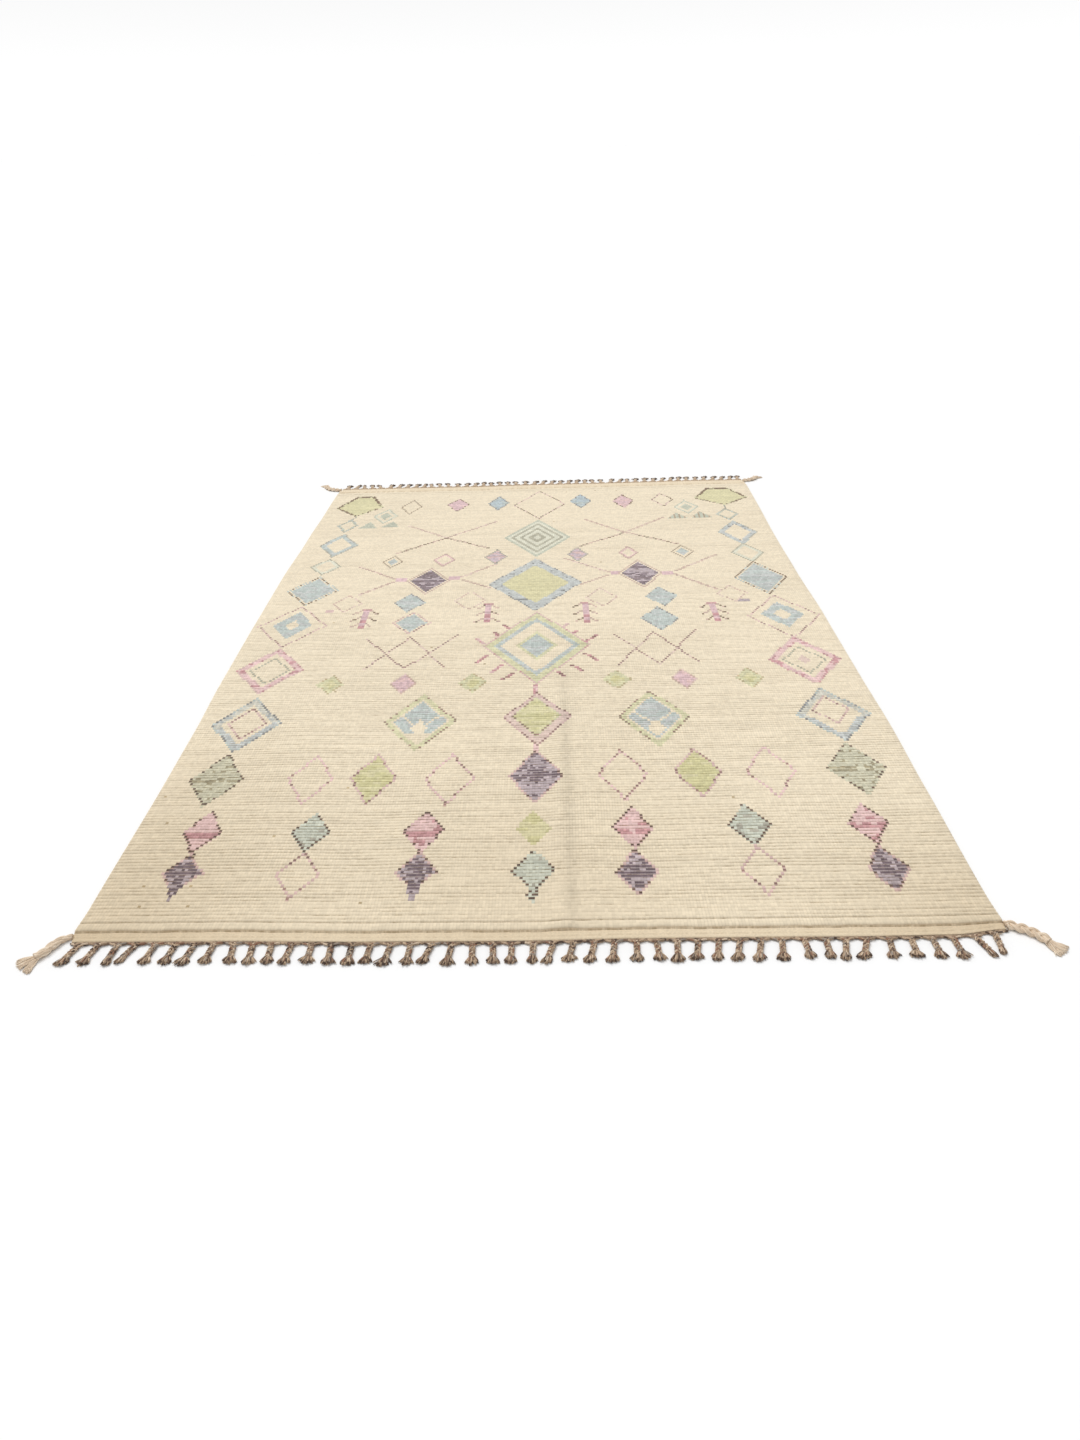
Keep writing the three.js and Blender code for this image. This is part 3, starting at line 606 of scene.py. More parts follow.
class Chart:
    """Which yarn each knot has, row by row from the near end, and how light its row is there."""

    def __init__(self):
        self.yarn = np.zeros((ROWS, COLUMNS), int)
        self.under = np.zeros((ROWS, COLUMNS), int)
        self.tone = np.ones((ROWS, COLUMNS))
        self.tone *= 1 + YARNS["cream"].rows * (hash01(np.arange(ROWS), 3.0)[:, None] - 0.5) * 2
        self.x = ((np.arange(COLUMNS) + 0.5) * KNOT - WIDTH / 2)[None, :] / CM
        self.y = ((np.arange(ROWS) + 0.5) * ROW - LENGTH / 2 + PILE_INSET["near"])[:, None] / CM
        self.row = np.arange(ROWS)[:, None] + 0 * self.x
        self.column = np.arange(COLUMNS)[None, :] + 0 * self.y
        self.seed = 0
        self.waist = 0.0

    def paint(self, name, mask):
        """Knots of one yarn; a mix picks between two in uneven runs, and bands change from row to row."""
        if name in MIXES:
            first, second, share = MIXES[name]
            row, column = self.row / MIX_RUNS["knots"], self.column / MIX_RUNS["knots"]
            runs = MIX_RUNS["least"] + MIX_RUNS["swing"] * smooth_noise(row, column, self.seed + 30)
            chosen = hash01(self.row, self.column, self.seed) < share * runs
            self.paint(second, mask)
            self.paint(first, mask & chosen)
            return
        if name in BANDS:
            band = BANDS[name]
            rows = smooth_noise(self.row / band.rows, 0, self.seed + 11)
            share = band.least + (band.most - band.least) * rows**1.5
            share = share + band.more * np.exp(-(((self.y - self.waist + band.under) / band.reach) ** 2))
            chosen = smooth_noise(self.column / band.run, self.row, self.seed + 3) < share
            self.paint(band.light, mask)
            self.paint(band.dark, mask & chosen)
            return
        yarn = YARNS[name]
        bands = hash01(self.row, self.seed + 5)
        self.yarn[mask] = YARN_NAMES.index(name)
        self.tone[mask] = (1 + yarn.rows * (2 * bands - 1))[mask]
        if name not in DASHES:
            self.under[mask] = YARN_NAMES.index(name)

    def depth(self, x, near, waist, far, half):
        """How many knots each knot lies inside a lozenge; less than nothing outside it."""
        reach = np.where(self.y > waist, (self.y - waist) / (far - waist), (waist - self.y) / (waist - near))
        return np.floor((half * (1 - reach) - np.abs(self.x - x)) * CM / KNOT)

    def rings(self, depth, style, inside):
        """One yarn after the other, from the edge inwards."""
        self.seed += 1
        edge = 0
        for name, knots in STYLES[style]:
            self.paint(name, inside & (depth >= edge) & (depth < edge + knots))
            edge += knots

    def lozenge(self, motif):
        self.waist = (motif.near + motif.far) / 2
        depth = self.depth(motif.x, motif.near, self.waist, motif.far, motif.half)
        self.rings(depth, motif.style, depth >= 0)

    def corner(self, motif):
        depth = self.depth(motif.x, motif.near, motif.waist, motif.far, motif.half)
        below_cut = np.floor((motif.cut - self.y) * CM / ROW)
        self.rings(np.minimum(depth, below_cut), "corner_lime", (depth >= 0) & (below_cut >= 0))

    def triangle(self, motif):
        reach = (self.y - motif.near) / (motif.far - motif.near)
        inside = (reach >= 0) & (np.abs(self.x - motif.x) < motif.half * (1 - reach))
        self.seed += 1
        self.paint(motif.fill, inside)
        self.paint(motif.stripes, inside & (self.column % TRIANGLE_STRIPES == 0))

    def stroke(self, motif):
        self.seed += 1
        rise = motif.y1 - motif.y0
        if abs(rise) < ROW / CM:
            near_line = np.abs(self.y - motif.y0) * CM < ROW * motif.width / 2
            low, high = sorted((motif.x0, motif.x1))
            self.paint(motif.yarn, near_line & (self.x > low) & (self.x < high))
            return
        share = (self.y - motif.y0) / rise
        middle = motif.x0 + share * (motif.x1 - motif.x0)
        step = abs((motif.x1 - motif.x0) / rise) * ROW / CM
        width = max(motif.width * KNOT / CM, step)
        inside = (share >= 0) & (share <= 1) & (np.abs(self.x - middle) < width / 2)
        self.paint(motif.yarn, inside)

    def comb(self, motif):
        """A pale stem that is dark in two places, with slanting legs and a bar over it."""
        length = motif.far - motif.near
        along = (self.y - motif.near) / length
        from_stem = np.abs(self.x - motif.x)
        self.seed += 1
        for share in COMB_LEGS["at"]:
            top = motif.near + share * length
            for side in (-1, 1):
                foot = motif.x + side * COMB_LEGS["reach"]
                self.stroke(Stroke(motif.x, top, foot, top - COMB_LEGS["drop"], "leg", 1))
        inside = (from_stem * CM < KNOT * COMB_STEM / 2) & (along >= 0) & (along <= 1)
        dark = (along < COMB_DARK["foot"]) | ((along > COMB_DARK["from"]) & (along < COMB_DARK["to"]))
        bar = (from_stem < COMB_BAR["half"]) & (along > COMB_BAR["from"]) & (along <= 1)
        self.paint("orchid", inside & ~dark)
        self.paint("rose", (inside & dark) | bar)

    def blue_face(self, motif):
        """Blue over the waist and at both sides under it, round a bare lozenge low in the middle."""
        waist = (motif.near + motif.far) / 2
        depth = self.depth(motif.x, motif.near, waist, motif.far, motif.half)
        inner = (depth >= FACE_RIM) & (self.y > waist - motif.drop)
        gap = (waist - motif.gap_near, waist - motif.gap_waist, waist - motif.gap_far)
        bare = self.depth(motif.x, *gap, motif.gap_half)
        from_slant = np.abs(self.x - motif.x) - FACE_SLANT["from"] - FACE_SLANT["slope"] * (self.y - waist)
        slant = (np.abs(from_slant) < FACE_SLANT["half"]) & (self.y < waist + FACE_SLANT["reach"])
        self.seed += 1
        self.paint("blue_bands", inner & (bare < 0) & ~slant)


# Stray darker knots: share of them where they are thickest, and that place and its reach in metres
STRAYS = {"share": 0.003, "x": -0.85, "y": -1.32, "reach": 0.35, "elsewhere": 0.12}


def stray_knots(chart):
    x, y = chart.x * CM, chart.y * CM
    near = np.exp(-(((x - STRAYS["x"]) / STRAYS["reach"]) ** 2) - ((y - STRAYS["y"]) / STRAYS["reach"]) ** 2)
    share = STRAYS["share"] * (STRAYS["elsewhere"] + near)
    chart.paint("straw", hash01(chart.row, chart.column, SEED["stray"]) < share)


def woven_chart():
    chart = Chart()
    stray_knots(chart)
    for motif in STROKES:
        chart.stroke(motif)
    for motif in CORNERS:
        chart.corner(motif)
    for motif in LOZENGES:
        chart.lozenge(motif)
    for motif in BLUE_FACES:
        chart.blue_face(motif)
    for motif in TRIANGLES:
        chart.triangle(motif)
    for motif in COMBS:
        chart.comb(motif)
    return chart


def unevenness(x, y):
    """How far the pile stands over or under its even height."""
    reach = smooth((-y + CREASE["fade_to"]) / (CREASE["fade_to"] - CREASE["fade_from"]))
    ridge = np.exp(-(((x - CREASE["x"]) / CREASE["half"]) ** 2))
    wave = np.sin(2 * np.pi * x / WAVE["across"]) * np.sin(2 * np.pi * y / WAVE["along"])
    return CREASE["rise"] * reach * ridge + WAVE["rise"] * wave


def row_wander(x, y):
    """How far the rows lie off their straight place: a slow drift, and a bend beside the crease."""
    drift = DRIFT["reach"] * (smooth_noise(x / DRIFT["across"], y / DRIFT["along"], SEED["drift"]) - 0.5)
    ripple = RIPPLE["reach"] * (smooth_noise(x / RIPPLE["across"], y / RIPPLE["along"], SEED["ripple"]) - 0.5)
    bent = smooth((BEND["from"] - y) / (BEND["from"] - BEND["full"]))
    bump = BEND["reach"] * bent * np.exp(-(((x - BEND["x"]) / BEND["half"]) ** 2))
    return drift + ripple + bump


def groove_depth(x, y, line):
    """Depth of the groove behind a row: broken and uneven along it, deeper in some rows."""
    patch = smooth_noise(x / GROOVE_PATCH["across"] + 7, y / GROOVE_PATCH["along"], SEED["patch"])
    dashes = smooth_noise(x / GROOVE_DASH, line * 1.7, SEED["dash"])
    row = GROOVE_ROW["least"] + GROOVE_ROW["swing"] * float(hash01(line, SEED["row"]))
    to_far = smooth((y - GROOVE_WEAK["far_from"]) / GROOVE_WEAK["far_over"])
    to_end = smooth((GROOVE_WEAK["end_from"] - y) / GROOVE_WEAK["end_over"])
    open_field = 1 - GROOVE_WEAK["far_share"] * to_far - GROOVE_WEAK["end_share"] * to_end
    strength = clamp01(GROOVE["gain"] * dashes * (0.5 + patch) * row * open_field - GROOVE["cut"])
    depth = GROOVE["least"] + GROOVE["swing"] * strength
    if min(line, ROWS - line) < BORDER_ROW:
        return depth * BORDER_GROOVES + (PILE_EDGE["drop"] if line in (0, ROWS) else 0)
    for trough in TROUGHS:
        near_line = np.abs(y - trough.y) < TROUGH_ROWS * ROW
        stretch = smooth((x - trough.x0) / TROUGH_FADE) * smooth((trough.x1 - x) / TROUGH_FADE)
        depth = depth + near_line * stretch * trough.depth
    if line in (BORDER_ROW, ROWS - BORDER_ROW):
        depth = depth + BORDER_DEPTH * (0.5 + 0.9 * dashes)
    return depth


# Places where the pile is warmer and darker, partly worn by use and partly painted shade of the light falling
# off towards the near end and its corners: middle, reach and share
WearAndShade = namedtuple("WearAndShade", "x y reach share")
WEAR_AND_SHADE = [
    WearAndShade(-1.00, -1.50, 0.42, 0.24),
    WearAndShade(1.00, -1.50, 0.34, 0.22),
    WearAndShade(-0.98, -0.95, 0.30, 0.08),
    WearAndShade(0.0, -1.45, 0.50, 0.13),
    WearAndShade(0.0, -0.95, 0.70, 0.02),
]
WEAR_AND_SHADE_TINT = np.array([0.85, 1.0, 1.2])


def wear_and_shade_tone(x, y):
    """What is left of each colour channel at a place, after wear and painted shade."""
    share = sum(w.share * math.exp(-(((x - w.x) / w.reach) ** 2) - ((y - w.y) / w.reach) ** 2) for w in WEAR_AND_SHADE)
    return 1 - share * WEAR_AND_SHADE_TINT


def edge_share(c):
    """How much of the full height stands at a place across the rug, counted in knots."""
    from_edge = np.minimum(c, COLUMNS - c)
    places, shares = zip(*ROUNDING)
    return np.interp(from_edge, places, shares)


NO_CUT = (0.0, 0.0)


class RugLine:
    """One line across the rug, from edge to edge, with the points of both strips beside it."""

    def __init__(self, place, top, knots, cut=NO_CUT, shade=0.0, in_pile=False):
        self.in_pile = in_pile
        self.place = place
        self.top = top
        self.knots = knots
        self.cut = cut
        self.shade = shade
        self.first = 0

    def points(self):
        c = self.knots
        straight = (c / COLUMNS - 0.5) * WIDTH
        y = self.place(straight)
        left = side_x("left", y) + self.cut[0]
        right = side_x("right", y) - self.cut[1]
        x = left + (right - left) * c / COLUMNS
        z = edge_share(c) * self.top(x, y)
        return np.stack([x, y, z], 1)


def weave_place(end, inward):
    sign = 1 if end == "near" else -1

    def place(x):
        waver = seam_waver(x, end) if inward > PILE_INSET[end] - SEAM["reach"] else 0
        return end_y(end, x) + sign * (inward + drawn_in(end, x, inward) + waver)

    return place


def pile_place(share):
    def place(x):
        near, far = end_y("near", x), end_y("far", x)
        y = (1 - share) * (near + PILE_INSET["near"]) + share * (far - PILE_INSET["far"])
        end, inward, sign = ("near", y - near, 1) if share < 0.5 else ("far", far - y, -1)
        beyond_seam = inward - PILE_INSET[end]
        waver = seam_waver(x, end) * (1 - smooth(beyond_seam / SEAM["fade"]))
        wander = row_wander(x, y) * smooth(beyond_seam / WANDER_FADE)
        return y + wander + sign * (drawn_in(end, x, inward) + waver)

    return place


def flat_top(height):
    return lambda x, y: height + 0 * x


def woven_top(height, line):
    """Stitches of the flat weave, a little higher and lower in turn."""
    def top(x, y):
        noise = smooth_noise(x / STITCH["length"], line * 3.3, SEED["stitch"])
        return height + STITCH["rise"] * (noise - 0.5)

    return top


def crown_top(line):
    def top(x, y):
        lump = KNOT_LUMP["rise"] * (smooth_noise(x / KNOT_LUMP["length"], line * 1.3, SEED["lump"]) - 0.5)
        return PILE_TOP - KNOT_LUMP["under"] + unevenness(x, y) + lump

    return top


def groove_top(line):
    return lambda x, y: PILE_TOP + unevenness(x, y) - groove_depth(x, y, line)


class Surface:
    """Points, faces and what each face corner and point carries, gathered and then made into one mesh."""

    def __init__(self):
        self.points = []
        self.count = 0
        self.faces = []
        self.colors = []
        self.knots = []
        self.grooves = []
        self.materials = []

    def add_points(self, points):
        first = self.count
        self.points.append(np.asarray(points, float))
        self.count += len(points)
        return first

    def add_face(self, corners, color, knots=0.0, material=0, grooves=1.0):
        self.faces.append(corners)
        self.colors.append(color)
        self.knots.append(knots)
        self.grooves.append(grooves)
        self.materials.append(material)

    def mesh(self, name, materials):
        made = bpy.data.meshes.new(name)
        made.from_pydata(np.concatenate(self.points).tolist(), [], self.faces)
        for material in materials:
            made.materials.append(material)
        made.polygons.foreach_set("material_index", self.materials)
        made.polygons.foreach_set("use_smooth", [True] * len(self.faces))
        counts = [len(face) for face in self.faces]
        tint = made.color_attributes.new("tint", "FLOAT_COLOR", "CORNER")
        rgba = np.concatenate([np.array(self.colors), np.ones((len(counts), 1))], 1)
        tint.data.foreach_set("color", np.repeat(rgba, counts, 0).astype(np.float32).ravel())
        for name, values in (("speck", self.knots), ("painted_groove_shade", self.grooves)):
            layer = made.attributes.new(name, "FLOAT", "CORNER")
            layer.data.foreach_set("value", np.repeat(values, counts).astype(np.float32))
        return made


def add_piece(name, mesh):
    piece = bpy.data.objects.new(name, mesh)
    bpy.context.scene.collection.objects.link(piece)
    return piece


def between(line, low, high):
    """Points of a line from one place to another, both included."""
    start = np.searchsorted(line.knots, low - 1e-6)
    stop = np.searchsorted(line.knots, high + 1e-6)
    return list(range(line.first + start, line.first + stop))


def merged(*lists):
    return np.unique(np.round(np.concatenate(lists), 4))


def row_breaks(chart, row):
    """Places where the yarn or the tone changes along a row, with the even steps between."""
    differs = [np.abs(np.diff(values[row])) > 1e-6 for values in (chart.yarn, chart.under, chart.tone)]
    changes = np.flatnonzero(np.any(differs, axis=0)) + 1
    step = 1 if min(row, ROWS - 1 - row) < BORDER_ROW else BASE_STEP
    return merged(base_breaks(step), changes.astype(float))


def base_breaks(step):
    rounding = [place for place, _ in ROUNDING]
    even = np.arange(step, COLUMNS, step)
    return merged(rounding, [COLUMNS - place for place in rounding], even)


def corner_cuts(end, share):
    return tuple(share * CORNER_CUT[f"{end}_{side}"] * MM for side in ("left", "right"))


def rug_lines(chart):
    """All lines from the near end to the far end, and the breaks and the row of each strip between two."""
    lines, strips = [], []
    woven = base_breaks(1)

    def weave(end):
        made = []
        for index, line in enumerate(WEAVE_LINES[end]):
            place = weave_place(end, line.inward)
            made.append((place, woven_top(line.top, index), corner_cuts(end, line.cut), line.shade))
        return made

    def pile():
        made = []
        for row in range(ROWS):
            for at, top in ((0.0, None), (GROOVE_SHARE, crown_top(row)), (1 - GROOVE_SHARE, crown_top(row))):
                groove = top is None
                shade = 0.0 if not groove else 1.0 if row > 0 else PILE_EDGE["shade"]
                height = groove_top(row) if groove else top
                made.append((pile_place((row + at) / ROWS), height, NO_CUT, shade))
        made.append((pile_place(1.0), groove_top(ROWS), NO_CUT, PILE_EDGE["shade"]))
        return made

    near, field, far = weave("near"), pile(), weave("far")[::-1]
    settings = near + field + far
    for index in range(len(settings) - 1):
        in_pile = index - len(near)
        if 0 <= in_pile < 3 * ROWS:
            row = in_pile // 3
            strips.append((row_breaks(chart, row), row))
        else:
            strips.append((woven, None))
    for index, (place, top, cut, shade) in enumerate(settings):
        beside = [strips[i][0] for i in (index - 1, index) if 0 <= i < len(strips)]
        in_pile = len(near) <= index < len(near) + len(field)
        lines.append(RugLine(place, top, merged(*beside), cut, shade, in_pile))
    return lines, strips


WEAVE_COLOR = srgb(240, 223, 194)
BACK_COLOR = srgb(214, 200, 172)
WEAVE_SPECK = 0.06
HIDDEN_SPECK = 0.05
PILE_MATERIAL, WEAVE_MATERIAL, BACK_MATERIAL = range(3)


def top_points(surface, lines):
    """Points of all lines on top: how much painted shade each one takes, by its depth in the pile, and its
    place in the lattice of knots and rows.
    """
    shades, lattice = [], []
    for index, line in enumerate(lines):
        points = line.points()
        line.first = surface.add_points(points)
        deep = PILE_TOP + unevenness(points[:, 0], points[:, 1]) - points[:, 2]
        depth = np.minimum(deep / GROOVE_FULL, GROOVE_DARKEST) if line.in_pile else np.ones(len(points))
        shades.append(line.shade * depth)
        along = (points[:, 1] + LENGTH / 2 - PILE_INSET["near"]) / ROW
        in_pile = index - WEAVE_COUNT
        if 0 <= in_pile <= 3 * ROWS:
            row, part = divmod(in_pile, 3)
            along = np.full(len(points), row + (0.0, GROOVE_SHARE, 1 - GROOVE_SHARE)[part])
        lattice.append(np.stack([line.knots, along], 1))
    return shades, lattice


def top_faces(surface, chart, lines, strips):
    for index, (breaks, row) in enumerate(strips):
        low, high = lines[index], lines[index + 1]
        y = surface.points[index][0, 1]
        for a, b in zip(breaks[:-1], breaks[1:]):
            # Wear and painted shade towards the near end, on weave and pile alike
            wear_and_shade = wear_and_shade_tone(((a + b) / 2 / COLUMNS - 0.5) * WIDTH, y)
            corners = between(low, a, b) + between(high, a, b)[::-1]
            if row is None:
                surface.add_face(corners, WEAVE_COLOR * wear_and_shade, WEAVE_SPECK, WEAVE_MATERIAL)
                continue
            knot = min(int((a + b) / 2), COLUMNS - 1)
            crown = (index - WEAVE_COUNT) % 3 == 1
            yarn = YARNS[YARN_NAMES[(chart.yarn if crown else chart.under)[row, knot]]]
            color = np.array(yarn.color) * chart.tone[row, knot] * wear_and_shade
            surface.add_face(corners, color, yarn.knots, PILE_MATERIAL, yarn.grooves)


def hidden_faces(surface, low, high, knots, color, material, turn):
    """Faces between two lines that are all alike; a turn of -1 makes them face the other way."""
    for a, b in zip(knots[:-1], knots[1:]):
        corners = between(low, a, b) + between(high, a, b)[::-1]
        surface.add_face(corners[::turn], color, HIDDEN_SPECK, material)


def side_walls(surface, lines, backs, back_index, last):
    for k, (start, stop) in enumerate(zip(back_index[:-1], back_index[1:])):
        material = WEAVE_MATERIAL if k in (0, len(backs) - 2) else PILE_MATERIAL
        color = WEAVE_COLOR if material == WEAVE_MATERIAL else YARNS["cream"].color
        below, above = backs[k].first, backs[k + 1].first
        left = [lines[i].first for i in range(start, stop + 1)]
        surface.add_face(left + [above, below], color, HIDDEN_SPECK, material)
        right = [lines[i].first + len(lines[i].knots) - 1 for i in range(start, stop + 1)]
        corners = right + [above + last, below + last]
        surface.add_face(corners[::-1], color, HIDDEN_SPECK, material)


def rug_surface(chart):
    """The closed sheet: strips of pile and weave on top, walls at the edges, and a flat back."""
    surface = Surface()
    lines, strips = rug_lines(chart)
    shades, lattice = top_points(surface, lines)
    top_faces(surface, chart, lines, strips)

    back_knots = merged(np.arange(0, COLUMNS, BACK_STEP), [COLUMNS])
    back_index = [0] + list(range(WEAVE_COUNT, len(lines) - WEAVE_COUNT, 3)) + [len(lines) - 1]
    backs = []
    for index in back_index:
        line = lines[index]
        flat = RugLine(line.place, flat_top(0.0), back_knots, line.cut)
        points = flat.points()
        flat.first = surface.add_points(points)
        shades.append(np.zeros(len(points)))
        lattice.append(np.stack([back_knots, points[:, 1] / ROW], 1))
        backs.append(flat)
    for low, high in zip(backs[:-1], backs[1:]):
        hidden_faces(surface, low, high, back_knots, BACK_COLOR, BACK_MATERIAL, -1)
    hidden_faces(surface, backs[0], lines[0], back_knots, WEAVE_COLOR, WEAVE_MATERIAL, 1)
    hidden_faces(surface, backs[-1], lines[-1], back_knots, WEAVE_COLOR, WEAVE_MATERIAL, -1)
    side_walls(surface, lines, backs, back_index, len(back_knots) - 1)
    return surface, np.concatenate(shades), np.concatenate(lattice)


def rug_object(materials):
    surface, shades, lattice = rug_surface(woven_chart())
    mesh = surface.mesh("rug_pile", materials)
    # The painted shade of each point, from how deep it lies
    shade = mesh.attributes.new("groove", "FLOAT", "POINT")
    shade.data.foreach_set("value", shades.astype(np.float32))
    layer = mesh.uv_layers.new(name="lattice")
    corner_points = np.zeros(len(mesh.loops), np.int32)
    mesh.loops.foreach_get("vertex_index", corner_points)
    layer.uv.foreach_set("vector", lattice[corner_points].astype(np.float32).ravel())
    mesh.update()
    return add_piece("rug_pile", mesh)


def tube(surface, points, radii, sides, color, speck):
    """A closed round yarn along points, with a radius at each, and one colour or one for each stretch."""
    points = np.asarray(points, float)
    radii = np.broadcast_to(np.asarray(radii, float), len(points))
    along = np.gradient(points, axis=0)
    along /= np.linalg.norm(along, axis=1)[:, None]
    across = np.cross(along, np.array([0.0, 0.0, 1.0]))
    across /= np.maximum(np.linalg.norm(across, axis=1), 1e-9)[:, None]
    over = np.cross(across, along)
    turns = 2 * np.pi * np.arange(sides) / sides
    ring = (
        np.cos(turns)[None, :, None] * across[:, None, :]
        + np.sin(turns)[None, :, None] * over[:, None, :]
    )
    rings = points[:, None, :] + radii[:, None, None] * ring
    first = surface.add_points(rings.reshape(-1, 3))
    colors = color if isinstance(color, list) else [color] * (len(points) - 1)
    for k in range(len(points) - 1):
        for i in range(sides):
            here = first + k * sides + i
            beside = first + k * sides + (i + 1) % sides
            surface.add_face([here, here + sides, beside + sides, beside], colors[k], speck)
    last = first + (len(points) - 1) * sides
    surface.add_face([first + i for i in range(sides)], colors[0], speck)
    surface.add_face([last + i for i in reversed(range(sides))], colors[-1], speck)


# The twined strip along each woven end
STRIP = {"depth": 7 * MM, "middle": 2.5 * MM, "radius": 1.9 * MM, "swing": 1.6 * MM, "lift": 0.55 * MM}
STRIP_TURN = 13 * MM
STRIP_STEPS = 8

# Tassels, as in the solids: sections by how far out they lie
TASSEL_REACH = 57 * MM
TASSEL_ROOM = 1.5 * MM
TASSEL_JITTER = {"root": 3, "lean": 5, "length": 0.14}
TASSEL_WIDTH = 28 * MM

# The neck of a tassel is a small plait whose outer strands come in along the woven edge
NECK = {"strands": 3, "swing": 4.5 * MM, "lift": 1.3 * MM, "turn": 22 * MM, "height": 4.6 * MM}
NECK_PLY = {"count": 2, "radius": 2.1 * MM, "off": 1.5 * MM, "turn": 12 * MM}
ROOT = {"reach": 17 * MM, "out": 14 * MM}
TUFT_FROM = 32 * MM

# The yarn ends of a tassel: how many, how much fuller some tufts are, how high they lie, how often and
# how far they go astray in calm and in wild tufts, and their thickness from the knot out
ENDS = {"count": 30, "fuller": 0.24, "low": 1.5 * MM, "rise": 5.2 * MM}
ASTRAY = {"calm": 0.04, "wild": 0.18, "wild_over": 0.72, "spread": 1.5, "thin": 0.7}
END_RADII = np.array([1.3, 1.6, 1.8, 1.9, 1.8, 1.5]) * MM

FRINGES = {
    "near": {
        "count": 46,
        "first": -976,
        "last": 968,
        "bow": -22,
        "seed": 1,
        "drift": {
            "at": [-976, -890, -846, -800, -700, -630, -540, -500, -420, -285, -240, -200, -110]
            + [18, 62, 147, 277, 363, 493, 579, 709, 752, 880, 925, 968],
            "lean": [-24, -6, -26, -12, -14, 2, 0, -9, 0, -12, -7, -20, 3]
            + [0, -18, -14, 3, -13, -18, 5, -22, -6, 4, 22, -4],
        },
    },
    "far": {
        "count": 47,
        "first": -950,
        "last": 966,
        "bow": 0,
        "seed": 2,
        "drift": {
            "at": [-950, -905, -860, -775, -730, -600, -490, -360, -230, -108]
            + [-30, 180, 260, 385, 435, 640, 715, 895, 966],
            "lean": [8, 16, -8, -20, 16, 14, -17, 12, 0, -10, 18, 12, -8, 24, 4, 22, 8, 24, 10],
        },
    },
}

# Tints of the fringes' yarns, and how speckled these are
PALE = srgb(214, 193, 168)
TAN = srgb(194, 169, 142)
FAWN = srgb(166, 142, 118)
BROWN = srgb(134, 110, 92)
GREY = srgb(160, 147, 134)
DARK = srgb(90, 72, 60)
SMOKE = srgb(70, 62, 58)
RUST = srgb(152, 114, 92)
STRAND_TINTS = [PALE, TAN, FAWN, GREY, BROWN, DARK, TAN, FAWN, RUST]
STRIP_TINTS = [BROWN, DARK, FAWN, BROWN, TAN, FAWN]
PALE_TINTS = [PALE, TAN, PALE, PALE]
END_TINTS = [TAN, FAWN, PALE, BROWN, GREY, DARK, TAN, RUST, DARK, FAWN]
# The far fringe's yarn ends take much darker tints than the near ones
FAR_END_TINTS = [DARK, GREY, BROWN, SMOKE, DARK, SMOKE, GREY, DARK]
# Tints of the last stretch of each yarn end, darker on the whole: painted shade on the cut ends
SHADED_TIP_TINTS = [DARK, BROWN, TAN, FAWN, DARK, FAWN]
TASSEL_SPECK = 0.45
STRIP_SPECK = 0.4


def picked(tints, *keys):
    """One of some tints, always the same one for the same keys."""
    return tints[int(hash01(*keys) * len(tints))]


def jitter(index, seed):
    return float(hash01(index, seed)) - 0.5


def tassel_places(fringe):
    """Root, tip and length of every tassel, and the room that its cut end has."""
    count, seed = fringe["count"], fringe["seed"]
    places = []
    for i in range(count):
        share = i / (count - 1)
        evenly = fringe["first"] + (fringe["last"] - fringe["first"]) * share
        inner = 0 < i < count - 1
        bowed = evenly + fringe["bow"] * 4 * share * (1 - share)
        root = bowed + (TASSEL_JITTER["root"] * jitter(i, seed) if inner else 0)
        drift = float(table_value(fringe["drift"], "lean", evenly * MM)) / MM
        lean = drift + TASSEL_JITTER["lean"] * jitter(i, seed + 10)
        stretch = 1 + TASSEL_JITTER["length"] * jitter(i, seed + 20)
        places.append({"root": root * MM, "tip": (root + lean) * MM, "stretch": stretch})
    tips = [place["tip"] for place in places]
    for i, place in enumerate(places):
        before = tips[i] - tips[i - 1] if i > 0 else math.inf
        after = tips[i + 1] - tips[i] if i < count - 1 else math.inf
        place["room"] = min(before, after) - TASSEL_ROOM
    return places


class TasselFrame:
    """Places in a tassel from how far out, across and up they are."""

    def __init__(self, end, place):
        self.sign = -1 if end == "near" else 1
        self.neck_tints = STRAND_TINTS if end == "near" else PALE_TINTS
        self.end_tints = END_TINTS if end == "near" else FAR_END_TINTS
        self.place = place
        pulled = float(drawn_in(end, place["root"], 0))
        self.edge = float(end_y(end, place["root"])) + self.sign * (PIECE_GAP + STRIP["depth"] - pulled)

    def at(self, out, across, up):
        out, across, up = np.broadcast_arrays(*(np.asarray(v, float) for v in (out, across, up)))
        share = np.maximum(out, 0) / TASSEL_REACH
        x = self.place["root"] + (self.place["tip"] - self.place["root"]) * share + across
        stretched = np.where(out > 0, out * self.place["stretch"], out)
        return np.stack([x, self.edge + self.sign * stretched, up], -1)


